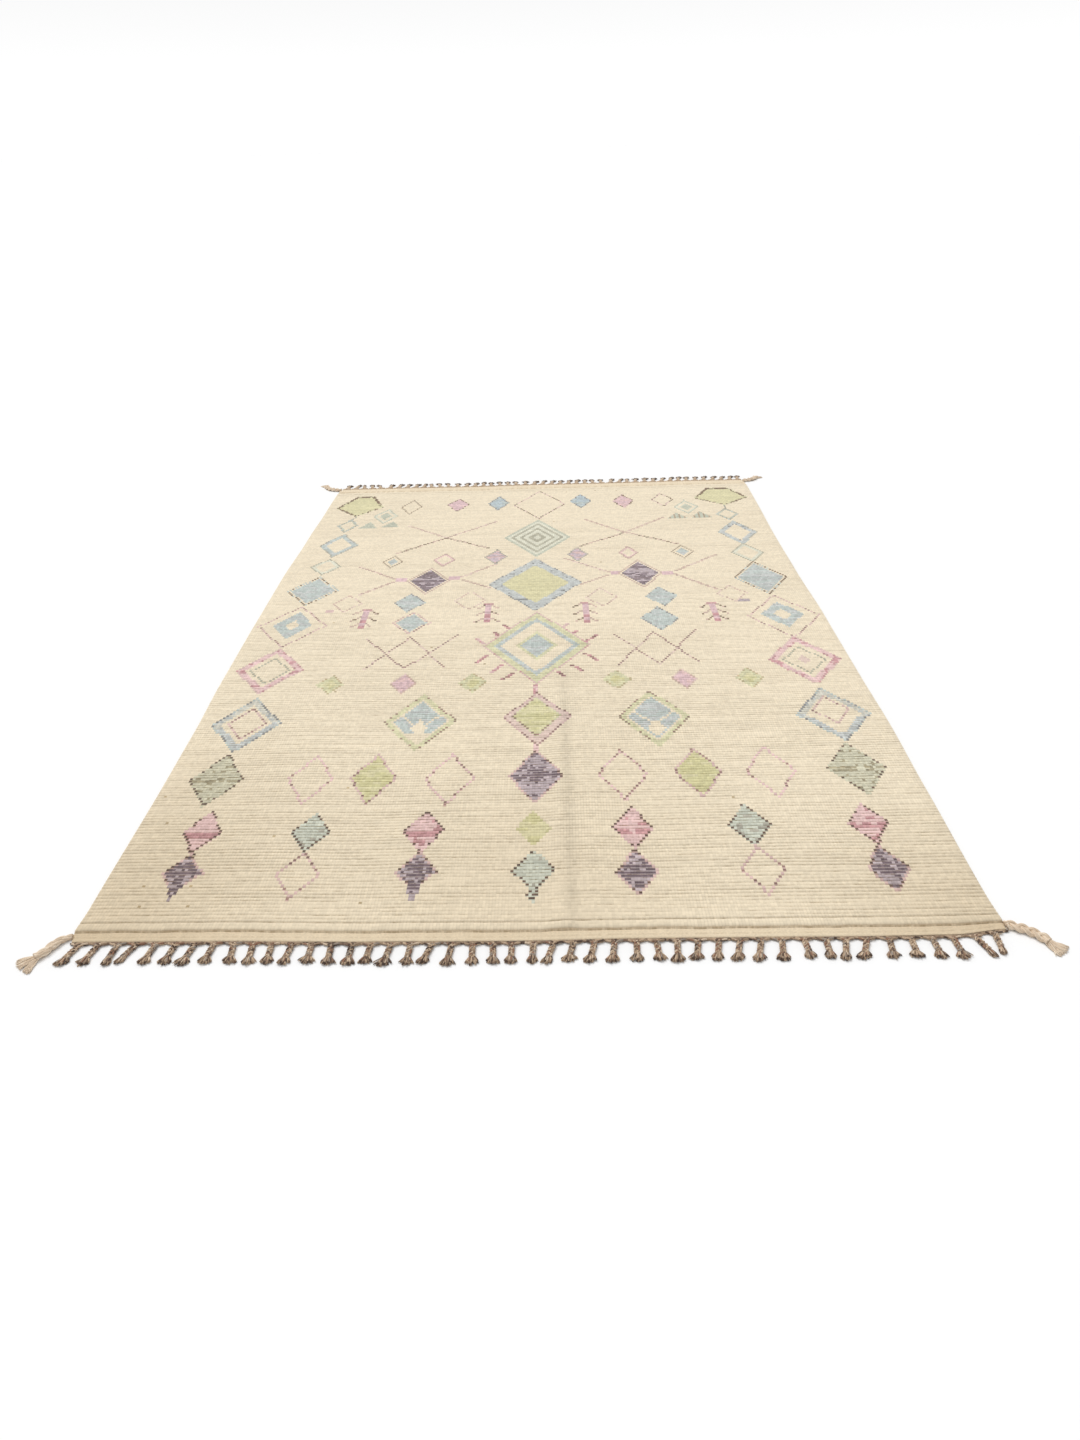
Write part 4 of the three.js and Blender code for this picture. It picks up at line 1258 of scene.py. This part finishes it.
def neck_strands(surface, tassel, seed):
    """Strands that leave along the woven edge, draw together and are plaited down to the tuft."""
    share = np.linspace(0, 1, 7)[:-1]
    root_out = -1.5 * MM + (ROOT["out"] + 1.5 * MM) * share**1.6
    root_in = (1 - share) ** 1.5
    out = np.concatenate([root_out, np.linspace(ROOT["out"], TUFT_FROM + 5 * MM, 11)])
    spread = np.concatenate([root_in, np.zeros(11)])
    drawn = 1 - spread
    for k in range(NECK["strands"]):
        phase = 2 * np.pi * (out / NECK["turn"] + k / NECK["strands"])
        side = k - (NECK["strands"] - 1) / 2
        across = side * ROOT["reach"] * spread + drawn * NECK["swing"] * np.sin(phase)
        up = NECK["height"] * (0.8 + 0.2 * drawn) + drawn * NECK["lift"] * np.sin(2 * phase)
        for ply in range(NECK_PLY["count"]):
            twist = 2 * np.pi * (out / NECK_PLY["turn"] + ply / NECK_PLY["count"]) + k
            path = tassel.at(
                out, across + NECK_PLY["off"] * np.cos(twist), up + NECK_PLY["off"] * np.sin(twist)
            )
            tints = [picked(tassel.neck_tints, seed, k + 3 * ply, i // 2) for i in range(len(out) - 1)]
            tube(surface, path, NECK_PLY["radius"], 5, tints, TASSEL_SPECK)


def tassel_ends(surface, tassel, seed):
    """Yarn ends of the tuft, spread like a small broom with a rounded end, a few of them astray."""
    fullness = 1.0 + ENDS["fuller"] * float(hash01(seed, 12))
    half = min(TASSEL_WIDTH * fullness, tassel.place["room"]) / 2
    wild = ASTRAY["wild"] if hash01(seed, 31) > ASTRAY["wild_over"] else ASTRAY["calm"]
    for k in range(ENDS["count"]):
        side = 2 * (k + 0.5 + 0.9 * jitter(k, seed)) / ENDS["count"] - 1
        layer = float(hash01(k, seed, 3))
        astray = hash01(k, seed, 15) < wild
        reach = TASSEL_REACH * (1 - 0.10 * side * side) * (0.88 + 0.14 * float(hash01(k, seed, 5)))
        out = np.linspace(TUFT_FROM - 1 * MM, reach, 6)
        share = (out - out[0]) / (out[-1] - out[0])
        spread = (half - 5.0 * MM) * (ASTRAY["spread"] if astray else 1.0)
        across = side * (3.4 * MM + spread * np.minimum(1.12 * share**1.15, 1.05))
        dome = math.sqrt(max(1 - 0.7 * side * side, 0.05))
        up = ENDS["low"] + ENDS["rise"] * layer * dome * (0.9 + 0.3 * share - 0.45 * share**3)
        radius = END_RADII * (ASTRAY["thin"] if astray else 1.0)
        tints = [picked(tassel.end_tints, k, seed, 8 + i // 2) for i in range(len(out) - 2)]
        # The cut end takes a darker tint, a painted shade
        tints.append(picked(SHADED_TIP_TINTS, k, seed, 4))
        tube(surface, tassel.at(out, across, up), radius, 5, tints, TASSEL_SPECK)


def strip_rope(surface, end, seed):
    """Two twined yarns along the woven end."""
    sign = -1 if end == "near" else 1
    cut_left, cut_right = corner_cuts(end, 1.0)
    y_left, y_right = (float(end_y(end, s * WIDTH / 2)) for s in (-1, 1))
    left = float(side_x("left", y_left)) + cut_left
    right = float(side_x("right", y_right)) - cut_right
    steps = int((right - left) / STRIP_TURN * STRIP_STEPS)
    strip_tints = STRIP_TINTS if end == "near" else PALE_TINTS
    x = np.linspace(left, right, steps)
    edge = end_y(end, x) + sign * (PIECE_GAP + STRIP["depth"] / 2 - drawn_in(end, x, 0))
    for k in range(2):
        phase = 2 * np.pi * (x / STRIP_TURN + k / 2)
        y = edge + STRIP["swing"] * np.cos(phase)
        z = STRIP["middle"] + STRIP["lift"] * np.sin(phase)
        tints = [picked(strip_tints, i // STRIP_STEPS, k, seed) for i in range(steps - 1)]
        tube(surface, np.stack([x, y, z], 1), STRIP["radius"], 6, tints, STRIP_SPECK)


def fringe_object(end, material):
    surface = Surface()
    strip_rope(surface, end, FRINGES[end]["seed"])
    for index, place in enumerate(tassel_places(FRINGES[end])):
        tassel = TasselFrame(end, place)
        seed = index + 100 * FRINGES[end]["seed"]
        neck_strands(surface, tassel, seed)
        tassel_ends(surface, tassel, seed)
    name = f"fringe_yarns_{end}"
    return add_piece(name, surface.mesh(name, [material]))


# The corner plaits: centreline in mm past the root, width of the open end, where it is parted, how thick its
# root is, and how clearly its strands show
PLAITS = {
    "near_left": {
        "tuft": 62,
        "parted": 0.30,
        "root": 0.72,
        "strands": 0.45,
        "path": [(-1019, -1495), (-1031, -1512), (-1041, -1531), (-1054, -1546)],
    },
    "near_right": {
        "tuft": 46,
        "parted": -0.15,
        "root": 1.0,
        "strands": 1.0,
        "path": [(1016, -1494), (1037, -1504), (1056, -1520), (1069, -1537)],
    },
    "far_left": {
        "tuft": 40,
        "parted": 0.1,
        "root": 0.9,
        "strands": 1.0,
        "path": [(-1010, 1491), (-1033, 1502), (-1049, 1520), (-1060, 1541)],
    },
    "far_right": {
        "tuft": 50,
        "parted": -0.2,
        "root": 0.9,
        "strands": 1.0,
        "path": [(1010, 1512), (1030, 1519), (1046, 1532), (1058, 1548)],
    },
}
PLAIT = {"strands": 3, "turn": 64 * MM, "swing": 7.4 * MM, "lift": 2.2 * MM, "radius": 4.8 * MM}
PLAIT_LEAD = 4 * MM
PLAIT_SPECK = 0.22
PLY = {"count": 5, "radius": 2.4 * MM, "off": 2.8 * MM, "turn": 80 * MM}
GROWN_BY = 38 * MM
TUFT = {"neck": 20 * MM, "length": 38 * MM, "ends": 54, "parting": 0.16}
TUFT_RADII = {"at": [0, 0.15, 0.8, 1], "radius": [1.2, 1.55, 1.3, 0.9]}
PLAIT_TINTS = [srgb(232, 212, 187), srgb(222, 201, 176), srgb(238, 221, 198), srgb(215, 194, 169)]


def spline_points(knots, per_span):
    """Centripetal curve through points."""
    knots = [np.array(k, float) for k in knots]
    knots = [2 * knots[0] - knots[1]] + knots + [2 * knots[-1] - knots[-2]]
    made = []
    for p0, p1, p2, p3 in zip(knots, knots[1:], knots[2:], knots[3:]):
        t = np.cumsum([0] + [np.linalg.norm(b - a) ** 0.5 for a, b in ((p0, p1), (p1, p2), (p2, p3))])
        for s in np.linspace(t[1], t[2], per_span, endpoint=False):
            a1 = (t[1] - s) / (t[1] - t[0]) * p0 + (s - t[0]) / (t[1] - t[0]) * p1
            a2 = (t[2] - s) / (t[2] - t[1]) * p1 + (s - t[1]) / (t[2] - t[1]) * p2
            a3 = (t[3] - s) / (t[3] - t[2]) * p2 + (s - t[2]) / (t[3] - t[2]) * p3
            b1 = (t[2] - s) / (t[2] - t[0]) * a1 + (s - t[0]) / (t[2] - t[0]) * a2
            b2 = (t[3] - s) / (t[3] - t[1]) * a2 + (s - t[1]) / (t[3] - t[1]) * a3
            made.append((t[2] - s) / (t[2] - t[1]) * b1 + (s - t[1]) / (t[2] - t[1]) * b2)
    return np.array(made + [knots[-2]])


def plait_line(corner):
    """Centreline of a plait from the gathered corner, with its length at each point."""
    end, side = corner.split("_")
    sign = -1 if side == "left" else 1
    inward = 1 if end == "near" else -1

    def woven_corner(from_edge, cut):
        edge_x = sign * WIDTH / 2
        y = float(end_y(end, edge_x)) + inward * (from_edge + float(drawn_in(end, edge_x, from_edge)))
        return np.array([float(side_x(side, y)) - sign * cut, y])

    outer, inner = woven_corner(0.0, CORNER_CUT[corner] * MM), woven_corner(GATHERED, 0.0)
    middle = (outer + inner) / 2
    way = np.array([outer[1] - inner[1], inner[0] - outer[0]])
    way *= sign * np.sign(way[0]) / np.linalg.norm(way)
    start = middle + way * PIECE_GAP
    lead = middle + way * PLAIT_LEAD
    path = [np.array(p) * MM for p in PLAITS[corner]["path"]]
    points = spline_points([start, lead, *path], 16)
    lengths = np.concatenate([[0], np.cumsum(np.linalg.norm(np.diff(points, axis=0), axis=1))])
    return points, lengths


def plait_strands(surface, points, lengths, style, seed):
    """Three strands of several plies each, crossing over one another."""
    s = np.linspace(0, lengths[-1], 44)
    middle = np.stack([np.interp(s, lengths, points[:, i]) for i in (0, 1)], 1)
    along = np.gradient(middle, axis=0)
    along /= np.linalg.norm(along, axis=1)[:, None]
    aside = np.stack([-along[:, 1], along[:, 0]], 1)
    grown = style["root"] + (1 - style["root"]) * smooth(s / GROWN_BY)
    fuller = 1 - style["strands"]
    swing, lift = PLAIT["swing"] * style["strands"], PLAIT["lift"] * style["strands"]
    ply_off, ply_radius = PLY["off"] * (1 + 0.7 * fuller), PLY["radius"] * (1 + 0.5 * fuller)
    for strand in range(PLAIT["strands"]):
        phase = 2 * np.pi * (s / PLAIT["turn"] + strand / PLAIT["strands"])
        across = grown * swing * np.sin(phase)
        height = grown * (PLAIT["radius"] + fuller * PLAIT["lift"] + lift * (1 + np.sin(2 * phase)))
        for ply in range(PLY["count"]):
            twist = 2 * np.pi * (s / PLY["turn"] + ply / PLY["count"]) + strand
            off = across + grown * ply_off * np.cos(twist)
            up = height + grown * ply_off * np.sin(twist)
            path = np.concatenate([middle + aside * off[:, None], up[:, None]], 1)
            tint = picked(PLAIT_TINTS, strand, ply, seed)
            tube(surface, path, grown * ply_radius, 7, tint, PLAIT_SPECK)


def plait_tuft(surface, points, style, seed):
    """The open end, whose yarns fan out from a place behind the neck, parted by a narrow slit."""
    forward = points[-1] - points[-2]
    heading = math.atan2(forward[1], forward[0])
    fan = math.asin((style["tuft"] * MM - TUFT["neck"]) / 2 / TUFT["length"])
    behind = TUFT["neck"] / 2 / math.sin(fan)
    centre = points[-1] - behind * np.array([math.cos(heading), math.sin(heading)])
    for k in range(TUFT["ends"]):
        side = 2 * (k + 0.5 + 0.8 * jitter(k, seed)) / TUFT["ends"] - 1
        layer = float(hash01(k, seed, 2))
        reach = TUFT["length"] * (0.84 + 0.16 * float(hash01(k, seed, 6)))
        out = np.linspace(-4 * MM, reach, 7)
        share = (out - out[0]) / (out[-1] - out[0])
        away = (1 if side > style["parted"] else -1) * TUFT["parting"] * np.maximum(0, share - 0.25)
        room = 1 - np.abs(side - style["parted"]) / (1 + abs(style["parted"]))
        angle = heading + fan * (0.94 * side * (0.75 + 0.25 * share) + away * room)
        angle = angle + 0.05 * np.sin(5 * share + 9 * layer)
        place = centre + (behind + out)[:, None] * np.stack([np.cos(angle), np.sin(angle)], 1)
        crown = 1 - 0.5 * side * side
        up = 1.6 * MM + (1 - 0.72 * share) * crown * layer * 7.4 * MM
        tint = picked(PLAIT_TINTS, k, seed, 4)
        path = np.concatenate([place, up[:, None]], 1)
        radius = np.interp(share, TUFT_RADII["at"], TUFT_RADII["radius"]) * MM
        tube(surface, path, radius, 5, tint, PLAIT_SPECK)


def plait_object(corner, material, seed):
    surface = Surface()
    points, lengths = plait_line(corner)
    plait_strands(surface, points, lengths, PLAITS[corner], seed)
    plait_tuft(surface, points, PLAITS[corner], seed)
    name = f"plait_yarns_{corner}"
    return add_piece(name, surface.mesh(name, [material]))


class Nodes:
    """Short ways to add and join nodes of one material."""

    def __init__(self, name):
        self.material = bpy.data.materials.new(name)
        self.material.use_nodes = True
        self.tree = self.material.node_tree
        self.shader = self.tree.nodes["Principled BSDF"]

    def add(self, kind, settings=None, **inputs):
        node = self.tree.nodes.new(kind)
        for key, value in (settings or {}).items():
            setattr(node, key, value)
        for key, value in inputs.items():
            self.set(node.inputs[key.replace("_", " ")], value)
        return node

    def set(self, socket, value):
        if isinstance(value, bpy.types.NodeSocket):
            self.tree.links.new(value, socket)
        else:
            socket.default_value = value

    def computed(self, kind, operation, values):
        node = self.add(kind, {"operation": operation})
        for socket, value in zip(node.inputs, values):
            self.set(socket, value)
        return node.outputs[0]

    def math(self, operation, *values):
        return self.computed("ShaderNodeMath", operation, values)

    def vector(self, operation, *values):
        return self.computed("ShaderNodeVectorMath", operation, values)

    def joined(self, x, y):
        return self.add("ShaderNodeCombineXYZ", None, X=x, Y=y).outputs[0]

    def split(self, vector):
        node = self.add("ShaderNodeSeparateXYZ", None, Vector=vector)
        return node.outputs["X"], node.outputs["Y"]

    def mapped(self, value, low, high, to_low, to_high):
        node = self.add("ShaderNodeMapRange", None, Value=value)
        for name, setting in zip(("From Min", "From Max", "To Min", "To Max"), (low, high, to_low, to_high)):
            node.inputs[name].default_value = setting
        return node.outputs[0]

    def waves(self, value, length):
        """Rounded waves from 0 to 1, each as long as asked."""
        return self.math("ABSOLUTE", self.math("SINE", self.math("MULTIPLY", value, math.pi / length)))

    def noise(self, vector, scale, detail, roughness):
        node = self.add("ShaderNodeTexNoise", None, Scale=scale, Detail=detail, Roughness=roughness)
        self.set(node.inputs["Vector"], vector)
        return node.outputs["Fac"]

    def attribute(self, name):
        return self.add("ShaderNodeAttribute", {"attribute_name": name})

    def darken(self, color, amount):
        """A colour times a number."""
        return self.add("ShaderNodeVectorMath", {"operation": "SCALE"}, Vector=color, Scale=amount).outputs[0]

    def bump(self, height, distance, strength):
        node = self.add("ShaderNodeBump", None, Height=height, Distance=distance, Strength=strength)
        self.tree.links.new(node.outputs[0], self.shader.inputs["Normal"])

    def wool(self, sheen):
        """Matt wool that catches a little light on its fibres."""
        self.shader.inputs["Roughness"].default_value = 0.95
        self.shader.inputs["Specular IOR Level"].default_value = 0.15
        self.shader.inputs["Sheen Weight"].default_value = sheen
        self.shader.inputs["Sheen Roughness"].default_value = 0.6


# How much a full groove's painted shade takes from each colour channel
GROOVE_SHADE = (-0.50, -0.58, -0.68)
GROOVE_MOST = 1.2


def painted_groove_shade(n, color, groove, dashes):
    """A colour with painted shade in its grooves, in dashes."""
    shade = n.math("MINIMUM", n.math("MULTIPLY", groove, dashes), GROOVE_MOST)
    return n.vector("MULTIPLY", color, n.vector("MULTIPLY_ADD", shade, GROOVE_SHADE, (1.0, 1.0, 1.0)))


# Noises of the pile: scale, detail and roughness
PILE_NOISE = {
    "patches": (3.5, 4.0, 0.6),
    "streaks": (1.0, 3.0, 0.6),
    "dashes": (1.0, 5.0, 0.78),
    "fibres": (900.0, 2.0, 0.7),
    "clumps": (160.0, 2.0, 0.6),
}

# How the pile's tone follows them, as a gain and a base; how long its streaks are; how dark the painted shade
# is in the gaps between columns of knots; how the painted shade of its grooves breaks up into dashes; and how
# much each noise lifts the fibres
PATCH_TONE = (0.12, 0.94)
STREAK_TONE = (0.22, 0.89)
STREAKS_TO_METRE = (7.0, 91.0, 1.0)
COLUMN_GAP = {"sharpness": 4.0, "from": 0.4, "to": 0.65, "least": 0.02, "most": 0.16}
DASH = {"per_knot": 0.26, "per_row": 3.7, "from": 0.42, "to": 0.66, "least": 0.05, "most": 1.35}
VALLEY_SHADE = 0.7
PILE_LIFT = {"tufts": -0.7, "fibres": 0.35, "clumps": 0.5, "depth": 0.0016, "strength": 0.8}


def pile_tone(n, place, knot, cell, speck):
    """How light each place of the pile is: by knot, patch and streak, with painted shade between columns of
    knots and a painted shadow beside the crease.
    """
    random = n.add("ShaderNodeTexWhiteNoise", {"noise_dimensions": "3D"}, Vector=cell).outputs["Value"]
    knot_tone = n.math("MULTIPLY_ADD", n.math("MULTIPLY_ADD", random, 2.0, -1.0), speck, 1.0)
    patches = n.noise(place, *PILE_NOISE["patches"])
    patch_tone = n.math("MULTIPLY_ADD", patches, *PATCH_TONE)
    streaks = n.noise(n.vector("MULTIPLY", place, STREAKS_TO_METRE), *PILE_NOISE["streaks"])
    streak_tone = n.math("MULTIPLY_ADD", streaks, *STREAK_TONE)
    # Painted shade in the gaps between columns of knots
    from_middle = n.math("ABSOLUTE", n.math("MULTIPLY_ADD", n.math("FRACT", knot), 2.0, -1.0))
    gap = n.mapped(patches, *(COLUMN_GAP[key] for key in ("from", "to", "least", "most")))
    column_shade = n.math("MULTIPLY", n.math("POWER", from_middle, COLUMN_GAP["sharpness"]), gap)
    column_tone = n.math("SUBTRACT", 1.0, column_shade)
    across, along = n.split(place)
    # A painted shadow in a band beside the crease, full over the near part of the rug and fading out towards
    # its middle
    from_crease = n.math("ABSOLUTE", n.math("SUBTRACT", across, CREASE_SHADE["x"]))
    crease = n.mapped(from_crease, 0.0, CREASE_SHADE["half"], 1.0, 0.0)
    reach = n.mapped(along, CREASE_SHADE["full"], CREASE_SHADE["from"], CREASE_SHADE["share"], 0.0)
    crease_shadow_tone = n.math("SUBTRACT", 1.0, n.math("MULTIPLY", crease, reach))
    by_knot = n.math("MULTIPLY", knot_tone, patch_tone)
    by_line = n.math("MULTIPLY", streak_tone, column_tone)
    return n.math("MULTIPLY", n.math("MULTIPLY", by_knot, by_line), crease_shadow_tone)


def pile_material():
    """Cut wool knots in rows: each knot its own tone, painted shade in the grooves, fibres standing."""
    n = Nodes("knotted_pile")
    lattice = n.add("ShaderNodeUVMap", {"uv_map": "lattice"}).outputs[0]
    place = n.add("ShaderNodeTexCoord").outputs["Object"]
    tint = n.attribute("tint").outputs["Color"]
    speck = n.attribute("speck").outputs["Fac"]
    knot, row = n.split(lattice)
    cell = n.vector("FLOOR", n.vector("ADD", lattice, (0.0, 0.002, 0.0)))
    tone = pile_tone(n, place, knot, cell, speck)
    line = n.math("ROUND", row)
    along_row = n.math("MULTIPLY", knot, DASH["per_knot"])
    dash_place = n.joined(along_row, n.math("MULTIPLY", line, DASH["per_row"]))
    broken = n.noise(dash_place, *PILE_NOISE["dashes"])
    dashes = n.mapped(broken, *(DASH[key] for key in ("from", "to", "least", "most")))
    # Painted shade on the line between rows, stronger for yarns with more groove shade, added to the shade
    # from depth
    from_line = n.math("ABSOLUTE", n.math("SUBTRACT", row, line))
    valley = n.mapped(from_line, 0.0, GROOVE_SHARE, 1.0, 0.0)
    between_rows = n.math("MULTIPLY", valley, n.math("SUBTRACT", n.attribute("painted_groove_shade").outputs["Fac"], 1.0))
    groove = n.math("MULTIPLY_ADD", between_rows, VALLEY_SHADE, n.attribute("groove").outputs["Fac"])
    n.set(n.shader.inputs["Base Color"], painted_groove_shade(n, n.darken(tint, tone), groove, dashes))
    tufts = n.add("ShaderNodeTexVoronoi", {"feature": "F1"}, Vector=lattice, Scale=1.0, Randomness=0.7)
    fibres = n.math("MULTIPLY", n.noise(place, *PILE_NOISE["fibres"]), PILE_LIFT["fibres"])
    clumps = n.math("MULTIPLY", n.noise(place, *PILE_NOISE["clumps"]), PILE_LIFT["clumps"])
    relief = n.math("MULTIPLY_ADD", tufts.outputs["Distance"], PILE_LIFT["tufts"], fibres)
    n.bump(n.math("ADD", relief, clumps), PILE_LIFT["depth"], PILE_LIFT["strength"])
    n.wool(0.12)
    return n.material


# The flat weave: width of two warps and of one weft, how far its ribs stray, and its noises
WARP_PAIR = 0.0055
WEFT = 0.0022
RIB_STRAY = 0.9
WEAVE_NOISE = {
    "strays": (30.0, 2.0, 0.5),
    "mottle": (60.0, 3.0, 0.65),
    "specks": (1.0, 2.0, 0.6),
    "stitches": (1.0, 3.0, 0.65),
}
SPECKS_TO_METRE = (200.0, 300.0, 1.0)
STITCHES_TO_METRE = 75.0


def weave_material():
    """Weft-faced flat weave: fine ribs over the warps with painted shade between them, crossed by weft lines,
    and painted shade along its seam and some weft lines.
    """
    n = Nodes("flat_weave")
    place = n.add("ShaderNodeTexCoord").outputs["Object"]
    tint = n.attribute("tint").outputs["Color"]
    across, along = n.split(place)
    warped = n.math("MULTIPLY", across, 2 * math.pi / WARP_PAIR)
    shifted = n.math("MULTIPLY_ADD", n.noise(place, *WEAVE_NOISE["strays"]), RIB_STRAY, warped)
    ribs = n.math("ABSOLUTE", n.math("SINE", shifted))
    wefts = n.waves(along, WEFT)
    mottle = n.noise(place, *WEAVE_NOISE["mottle"])
    specks = n.noise(n.vector("MULTIPLY", place, SPECKS_TO_METRE), *WEAVE_NOISE["specks"])
    mottled = n.math("MULTIPLY_ADD", specks, 0.45, n.math("MULTIPLY_ADD", mottle, 0.20, 0.68))
    # The ribs are lighter on top and darker between, a painted shade
    tone = n.math("MULTIPLY", n.math("MULTIPLY_ADD", ribs, 0.14, 0.91), mottled)
    stitch_place = n.joined(n.math("MULTIPLY", across, STITCHES_TO_METRE), along)
    stitches = n.noise(stitch_place, *WEAVE_NOISE["stitches"])
    dashes = n.mapped(stitches, 0.38, 0.60, 0.15, 1.5)
    groove = n.attribute("groove").outputs["Fac"]
    n.set(n.shader.inputs["Base Color"], painted_groove_shade(n, n.darken(tint, tone), groove, dashes))
    n.bump(n.math("MULTIPLY_ADD", wefts, 0.4, ribs), 0.0007, 0.8)
    n.wool(0.1)
    return n.material


def back_material():
    """Back of the knots: low ridges along the rows, nubs across them, with painted shade in the hollows
    between.
    """
    n = Nodes("knotted_back")
    across, along = n.split(n.add("ShaderNodeTexCoord").outputs["Object"])
    tint = n.attribute("tint").outputs["Color"]
    rows = n.waves(along, ROW)
    nubs = n.waves(across, KNOT)
    relief = n.math("MULTIPLY", rows, n.math("MULTIPLY_ADD", nubs, 0.5, 0.5))
    # Darker in the hollows, a painted shade
    tone = n.math("MULTIPLY_ADD", relief, 0.25, 0.75)
    n.set(n.shader.inputs["Base Color"], n.darken(tint, tone))
    n.bump(relief, 0.0012, 0.8)
    n.wool(0.08)
    return n.material


def yarn_material(name, grain, contrast):
    """Spun yarn: speckled fibres of many tones."""
    n = Nodes(name)
    place = n.add("ShaderNodeTexCoord").outputs["Object"]
    tint = n.attribute("tint").outputs["Color"]
    speck = n.attribute("speck").outputs["Fac"]
    coarse = n.noise(place, grain, 3.0, 0.7)
    spread = n.math("MULTIPLY", n.math("MULTIPLY_ADD", coarse, 2.0, -1.0), speck)
    fine = n.noise(place, 4 * grain, 2.0, 0.7)
    tone = n.math("ADD", n.math("MULTIPLY_ADD", spread, contrast, 0.86), n.math("MULTIPLY", fine, 0.28))
    n.set(n.shader.inputs["Base Color"], n.darken(tint, tone))
    n.bump(n.math("ADD", coarse, fine), 0.0005, 0.8)
    n.wool(0.12)
    return n.material


def floor_material():
    n = Nodes("studio_floor")
    n.shader.inputs["Base Color"].default_value = (0.93, 0.93, 0.93, 1)
    n.shader.inputs["Roughness"].default_value = 0.9
    n.shader.inputs["Specular IOR Level"].default_value = 0.0
    return n.material


def make_camera():
    """The camera, turned by its pitch, yaw and roll from looking along +Y."""
    pitch, yaw, roll = (math.radians(CAMERA[key]) for key in ("pitch", "yaw", "roll"))
    forward = Vector((-math.sin(yaw) * math.cos(pitch), math.cos(yaw) * math.cos(pitch), -math.sin(pitch)))
    level = forward.cross(Vector((0, 0, 1))).normalized()
    above = level.cross(forward)
    right = math.cos(roll) * level + math.sin(roll) * above
    up = -math.sin(roll) * level + math.cos(roll) * above
    data = bpy.data.cameras.new("camera")
    data.lens = LENS
    data.sensor_width = SENSOR
    data.sensor_fit = "AUTO"
    camera = bpy.data.objects.new("camera", data)
    camera.matrix_world = Matrix((right, up, -forward)).transposed().to_4x4()
    camera.location = CAMERA["place"]
    bpy.context.scene.collection.objects.link(camera)
    bpy.context.scene.camera = camera


# A plain floor that reaches past the picture
FLOOR_SIZE = 400.0

# Soft studio light: a wide lamp far above, and a room that is palest at floor level
LAMP = {"from": (-0.35, 0.55, 1.0), "strength": 1.9, "spread": 40.0}
ROOM = {"level": 1.02, "above": 0.55, "low": 0.05, "high": 0.45}


def make_floor():
    half = FLOOR_SIZE / 2
    mesh = bpy.data.meshes.new("floor")
    corners = [(-half, -half, 0), (half, -half, 0), (half, half, 0), (-half, half, 0)]
    mesh.from_pydata(corners, [], [(0, 1, 2, 3)])
    mesh.materials.append(floor_material())
    add_piece("floor", mesh)


def make_lights():
    world = bpy.data.worlds.new("studio")
    world.use_nodes = True
    tree = world.node_tree
    background = tree.nodes["Background"]
    background.inputs["Color"].default_value = (1.0, 1.0, 1.0, 1)
    way = tree.nodes.new("ShaderNodeTexCoord")
    axes = tree.nodes.new("ShaderNodeSeparateXYZ")
    level = tree.nodes.new("ShaderNodeMapRange")
    level.inputs["From Min"].default_value = ROOM["low"]
    level.inputs["From Max"].default_value = ROOM["high"]
    level.inputs["To Min"].default_value = ROOM["level"]
    level.inputs["To Max"].default_value = ROOM["above"]
    tree.links.new(way.outputs["Generated"], axes.inputs[0])
    tree.links.new(axes.outputs["Z"], level.inputs["Value"])
    tree.links.new(level.outputs[0], background.inputs["Strength"])
    bpy.context.scene.world = world
    data = bpy.data.lights.new("lamp", "SUN")
    data.energy = LAMP["strength"]
    data.angle = math.radians(LAMP["spread"])
    lamp = bpy.data.objects.new("lamp", data)
    lamp.rotation_mode = "QUATERNION"
    lamp.rotation_quaternion = Vector(LAMP["from"]).to_track_quat("Z", "Y")
    bpy.context.scene.collection.objects.link(lamp)


def make_rug():
    rug = rug_object([pile_material(), weave_material(), back_material()])
    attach(rug, "root")
    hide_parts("rug")
    tassel_yarn = yarn_material("tassel_yarn", 420.0, 1.0)
    plait_yarn = yarn_material("plait_yarn", 420.0, 0.8)
    for end in FRINGES:
        fringe = fringe_object(end, tassel_yarn)
        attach(fringe, "root")
        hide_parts(f"fringe_{end}")
    for seed, corner in enumerate(PLAITS):
        plait = plait_object(corner, plait_yarn, seed + 1)
        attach(plait, "root")
        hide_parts(f"plait_{corner}")


bpy.context.scene.view_settings.view_transform = "Standard"
make_camera()
make_rug()
make_floor()
make_lights()
